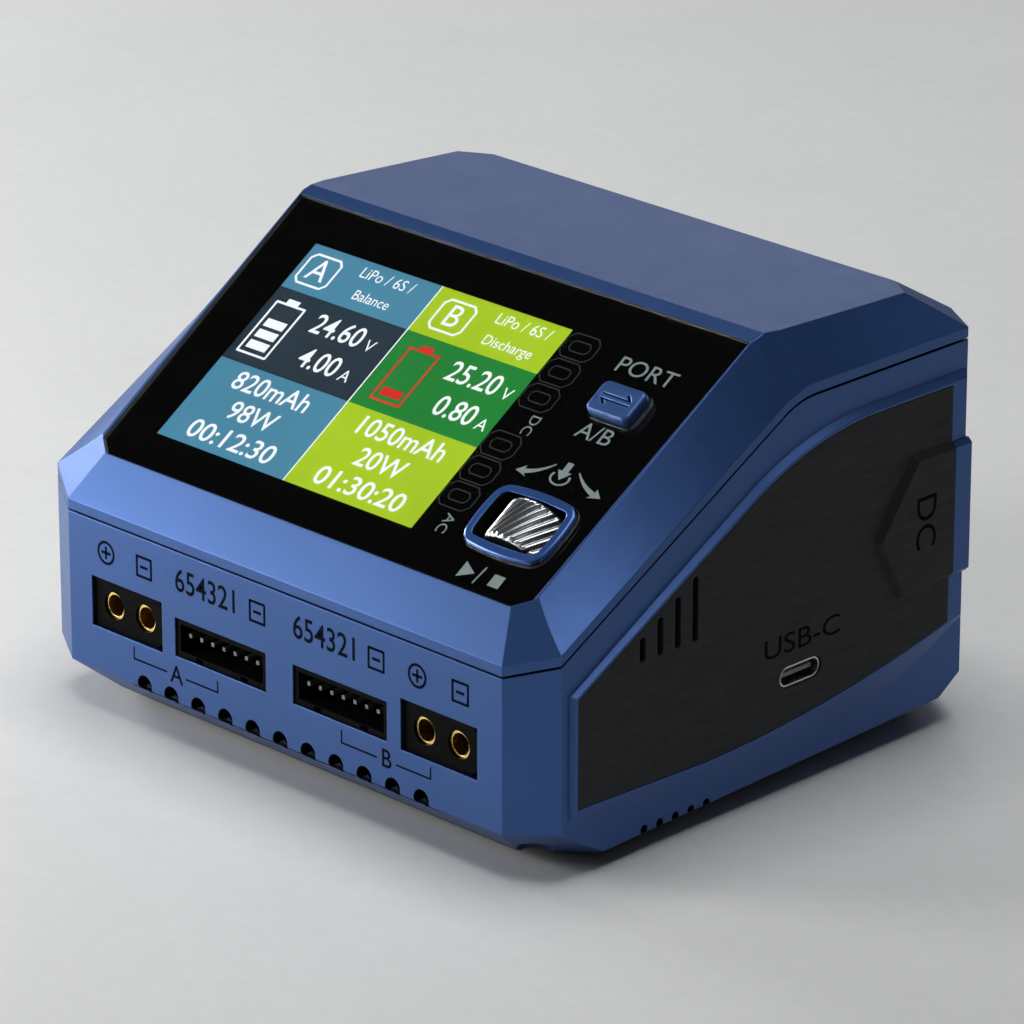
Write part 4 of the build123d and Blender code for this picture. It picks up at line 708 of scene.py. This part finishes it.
# ------------------------------------------------------------------ marks on the front
dark_mark = printed("sunk_mark", (0.003, 0.006, 0.014), rough=0.8, specular=0.05)
front = Graphic("front_marks", FRONT, 0.02)
for x in (-38.8, 29.8):
    front.ring(x, 27.3, 1.75, 0.46, dark_mark)
    front.box(x - 1.05, 27.07, x + 1.05, 27.53, dark_mark)
    front.box(x - 0.23, 26.25, x + 0.23, 28.35, dark_mark)
for x in (-30.1, -4.7, 21.1, 38.8):
    frame_box(front, x - 1.6, 25.7, x + 1.6, 28.9, 0.44, dark_mark, lift=0.0)
    front.box(x - 0.85, 27.07, x + 0.85, 27.53, dark_mark)
front.text("654321", -15.95, 27.35, 3.7, dark_mark, stretch=0.9, weight=0.04)
front.text("654321", 10.25, 27.35, 3.7, dark_mark, stretch=0.9, weight=0.04)
front.stroke([(-32.8, 13.5), (-32.8, 11.5), (-25.3, 11.5)], 0.3, dark_mark)
front.stroke([(-21.0, 11.5), (-13.8, 11.5), (-13.8, 13.4)], 0.3, dark_mark)
front.text("A", -23.1, 11.5, 2.9, dark_mark, weight=0.04)
front.stroke([(13.5, 13.7), (13.5, 11.6), (21.1, 11.6)], 0.3, dark_mark)
front.stroke([(25.2, 11.6), (32.5, 11.6), (32.5, 13.5)], 0.3, dark_mark)
front.text("B", 23.1, 11.8, 2.9, dark_mark, weight=0.04)
front.build("case", "case_blue")

# ------------------------------------------------------------------ arrows in the button's grooves
key_marks = Graphic("button_marks", PANEL, button_proud - groove_depth + 0.03)
for turned in (1, -1):
    arrow = [(-3.0, 0.28), (3.0, 0.28), (1.8, 1.48), (1.38, 1.18), (2.04, 0.62), (-3.0, 0.62)]
    key_marks.shape([(button_x + turned * x, button_s + turned * y) for x, y in arrow], dark_mark)
key_marks.build("port_button", "key_blue")

# ------------------------------------------------------------------ marks on the sides
side_mark = printed("side_mark", (0.0022, 0.0025, 0.003), rough=0.8, specular=0.05)
right_marks = Graphic("right_marks", RIGHT, 0.02)
right_marks.text("USB-C", 50.3, 24.9, 3.2, side_mark, stretch=1.35)
left_marks = Graphic("left_marks", LEFT, 0.02)
for marks, words, flip in ((right_marks, "DC", 1), (left_marks, "AC", -1)):
    marks.text(words, 76.5, 36.6, 4.4, side_mark, lift=boss_proud, stretch=float(flip), turn=-90 * flip)
    marks.build("case", "panel_grey")

rear = Graphic("rear_marks", REAR, 0.004)
rear_ink = printed("rear_ink", srgb(120, 126, 130))
rear.text("DC IN", -34.0, 44.0, 2.6, rear_ink)
rear.text("AC IN", 33.0, 44.6, 2.6, rear_ink)
rear.build("case", "rear_grey")


# ------------------------------------------------------------------ ridged roller
def ridged_roller():
    """The roller with helical ridges, inside the radius of the plain cylinder that it stands for."""
    ridges, length, top, depth = 28, 7.8, 6.3, 0.5
    twist = radians(44.0)
    around, rows = ridges * 10, 40
    axis = Vector((roller_x, roller_s, -roller_depth))
    vertices, faces = [], []
    for j in range(rows + 1):
        t = j / rows
        end = min(t, 1 - t) * length
        chamfer = max(0.0, 0.5 - end)
        fade = min(1.0, max(0.0, (end - 0.15) / 0.55))
        for k in range(around):
            angle = 2 * pi * k / around
            phase = (angle - twist * t) * ridges / (2 * pi)
            wave = 0.5 + 0.5 * cos(2 * pi * phase)
            ridge = wave ** 0.7
            r = top - chamfer - depth * (1 - ridge) * (0.25 + 0.75 * fade)
            vertices.append((axis.x + r * sin(angle), axis.y + (t - 0.5) * length, axis.z + r * cos(angle)))
    for j in range(rows):
        for k in range(around):
            a, b = j * around + k, j * around + (k + 1) % around
            faces.append((a, b, b + around, a + around))
    for j, side in ((0, -1), (rows, 1)):
        centre = len(vertices)
        vertices.append((axis.x, axis.y + side * length / 2, axis.z))
        for k in range(around):
            a, b = j * around + k, j * around + (k + 1) % around
            faces.append((a, centre, b) if side < 0 else (a, b, centre))
    shaft, steps = 0.9, 24
    for low, high in ((-5.35, -3.9), (3.9, 7.35)):
        start = len(vertices)
        for s in (low, high):
            for k in range(steps):
                angle = 2 * pi * k / steps
                vertices.append((axis.x + shaft * sin(angle), axis.y + s, axis.z + shaft * cos(angle)))
        for k in range(steps):
            a, b = start + k, start + (k + 1) % steps
            faces.append((a, b, b + steps, a + steps))
        faces.append(tuple(range(start + steps - 1, start - 1, -1)))
        faces.append(tuple(range(start + steps, start + 2 * steps)))
    mesh = bpy.data.meshes.new("ridged_roller")
    mesh.from_pydata([(PANEL @ Vector(v)) * MM for v in vertices], [], faces)
    mesh.materials.append(silver)
    mesh.update()
    for polygon in mesh.polygons:
        polygon.use_smooth = len(polygon.vertices) == 4
    obj = bpy.data.objects.new("ridged_roller", mesh)
    bpy.context.scene.collection.objects.link(obj)
    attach(obj, "roller")
    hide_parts("scroll_roller")


ridged_roller()

# ------------------------------------------------------------------ floor, light, camera
floor_mat = moulded("floor", (0.80, 0.80, 0.79), rough=0.6, grain=300.0, grain_depth=0.00001, edge=0.0001,
                    edge_wear_and_highlight=1.0, variation=0.015)
bpy.ops.mesh.primitive_plane_add(size=6.0, location=(0, 0, 0))
floor = bpy.context.object
floor.name = "floor"
floor.data.materials.append(floor_mat)

bpy.context.scene.view_settings.view_transform = "Standard"
world = bpy.data.worlds.new("studio")
bpy.context.scene.world = world
world.use_nodes = True
sky = world.node_tree
where = sky.nodes.new("ShaderNodeTexCoord")
height = sky.nodes.new("ShaderNodeSeparateXYZ")
link(sky, where.outputs["Generated"], height.inputs[0])
dome = ramp(sky, height.outputs["Z"],
            [(0.0, (0.06, 0.065, 0.075)), (0.4, (0.05, 0.055, 0.06)), (0.62, (0.02, 0.02, 0.02))])
link(sky, dome, sky.nodes["Background"].inputs["Color"])
sky.nodes["Background"].inputs["Strength"].default_value = 1.0


def softbox(name, at, target, size, power, colour):
    """An area light at a place in metres, facing a target, unseen by the camera."""
    data = bpy.data.lights.new(name, "AREA")
    data.shape = "RECTANGLE"
    data.size, data.size_y = size
    data.energy = power
    data.color = colour
    lamp = bpy.data.objects.new(name, data)
    bpy.context.scene.collection.objects.link(lamp)
    lamp.location = at
    lamp.visible_camera = False
    lamp.rotation_euler = (Vector(target) - Vector(at)).to_track_quat("-Z", "Y").to_euler()


softbox("key_light", (-0.27, -0.26, 0.11), (-0.03, -0.03, 0.02), (0.14, 0.14), 0.88, (1.0, 0.99, 0.97))
softbox("left_light", (-0.66, -0.03, 0.21), (-0.03, -0.03, 0.04), (0.16, 0.16), 1.7, (0.98, 0.99, 1.0))
softbox("top_light", (0.0, 0.1, 1.2), (0.0, 0.0, 0.0), (0.9, 0.9), 8.6, (0.97, 0.98, 1.0))
softbox("back_light", (-0.62, 0.72, 0.32), (0.0, 0.0, 0.05), (0.45, 0.35), 0.42, (0.97, 0.98, 1.0))

azimuth, elevation = radians(44.968), radians(21.508)
right = Vector((cos(azimuth), sin(azimuth), 0))
back = Vector((sin(azimuth) * cos(elevation), -cos(azimuth) * cos(elevation), sin(elevation)))
up = back.cross(right)
camera_data = bpy.data.cameras.new("camera")
camera_data.sensor_width = 36.0
camera_data.lens = 226.26
camera_data.clip_start = 0.01
camera = bpy.data.objects.new("camera", camera_data)
bpy.context.scene.collection.objects.link(camera)
camera.matrix_world = Matrix((
    (right.x, up.x, back.x, 0.6548),
    (right.y, up.y, back.y, -0.6545),
    (right.z, up.z, back.z, 0.3962),
    (0, 0, 0, 1),
))
bpy.context.scene.camera = camera
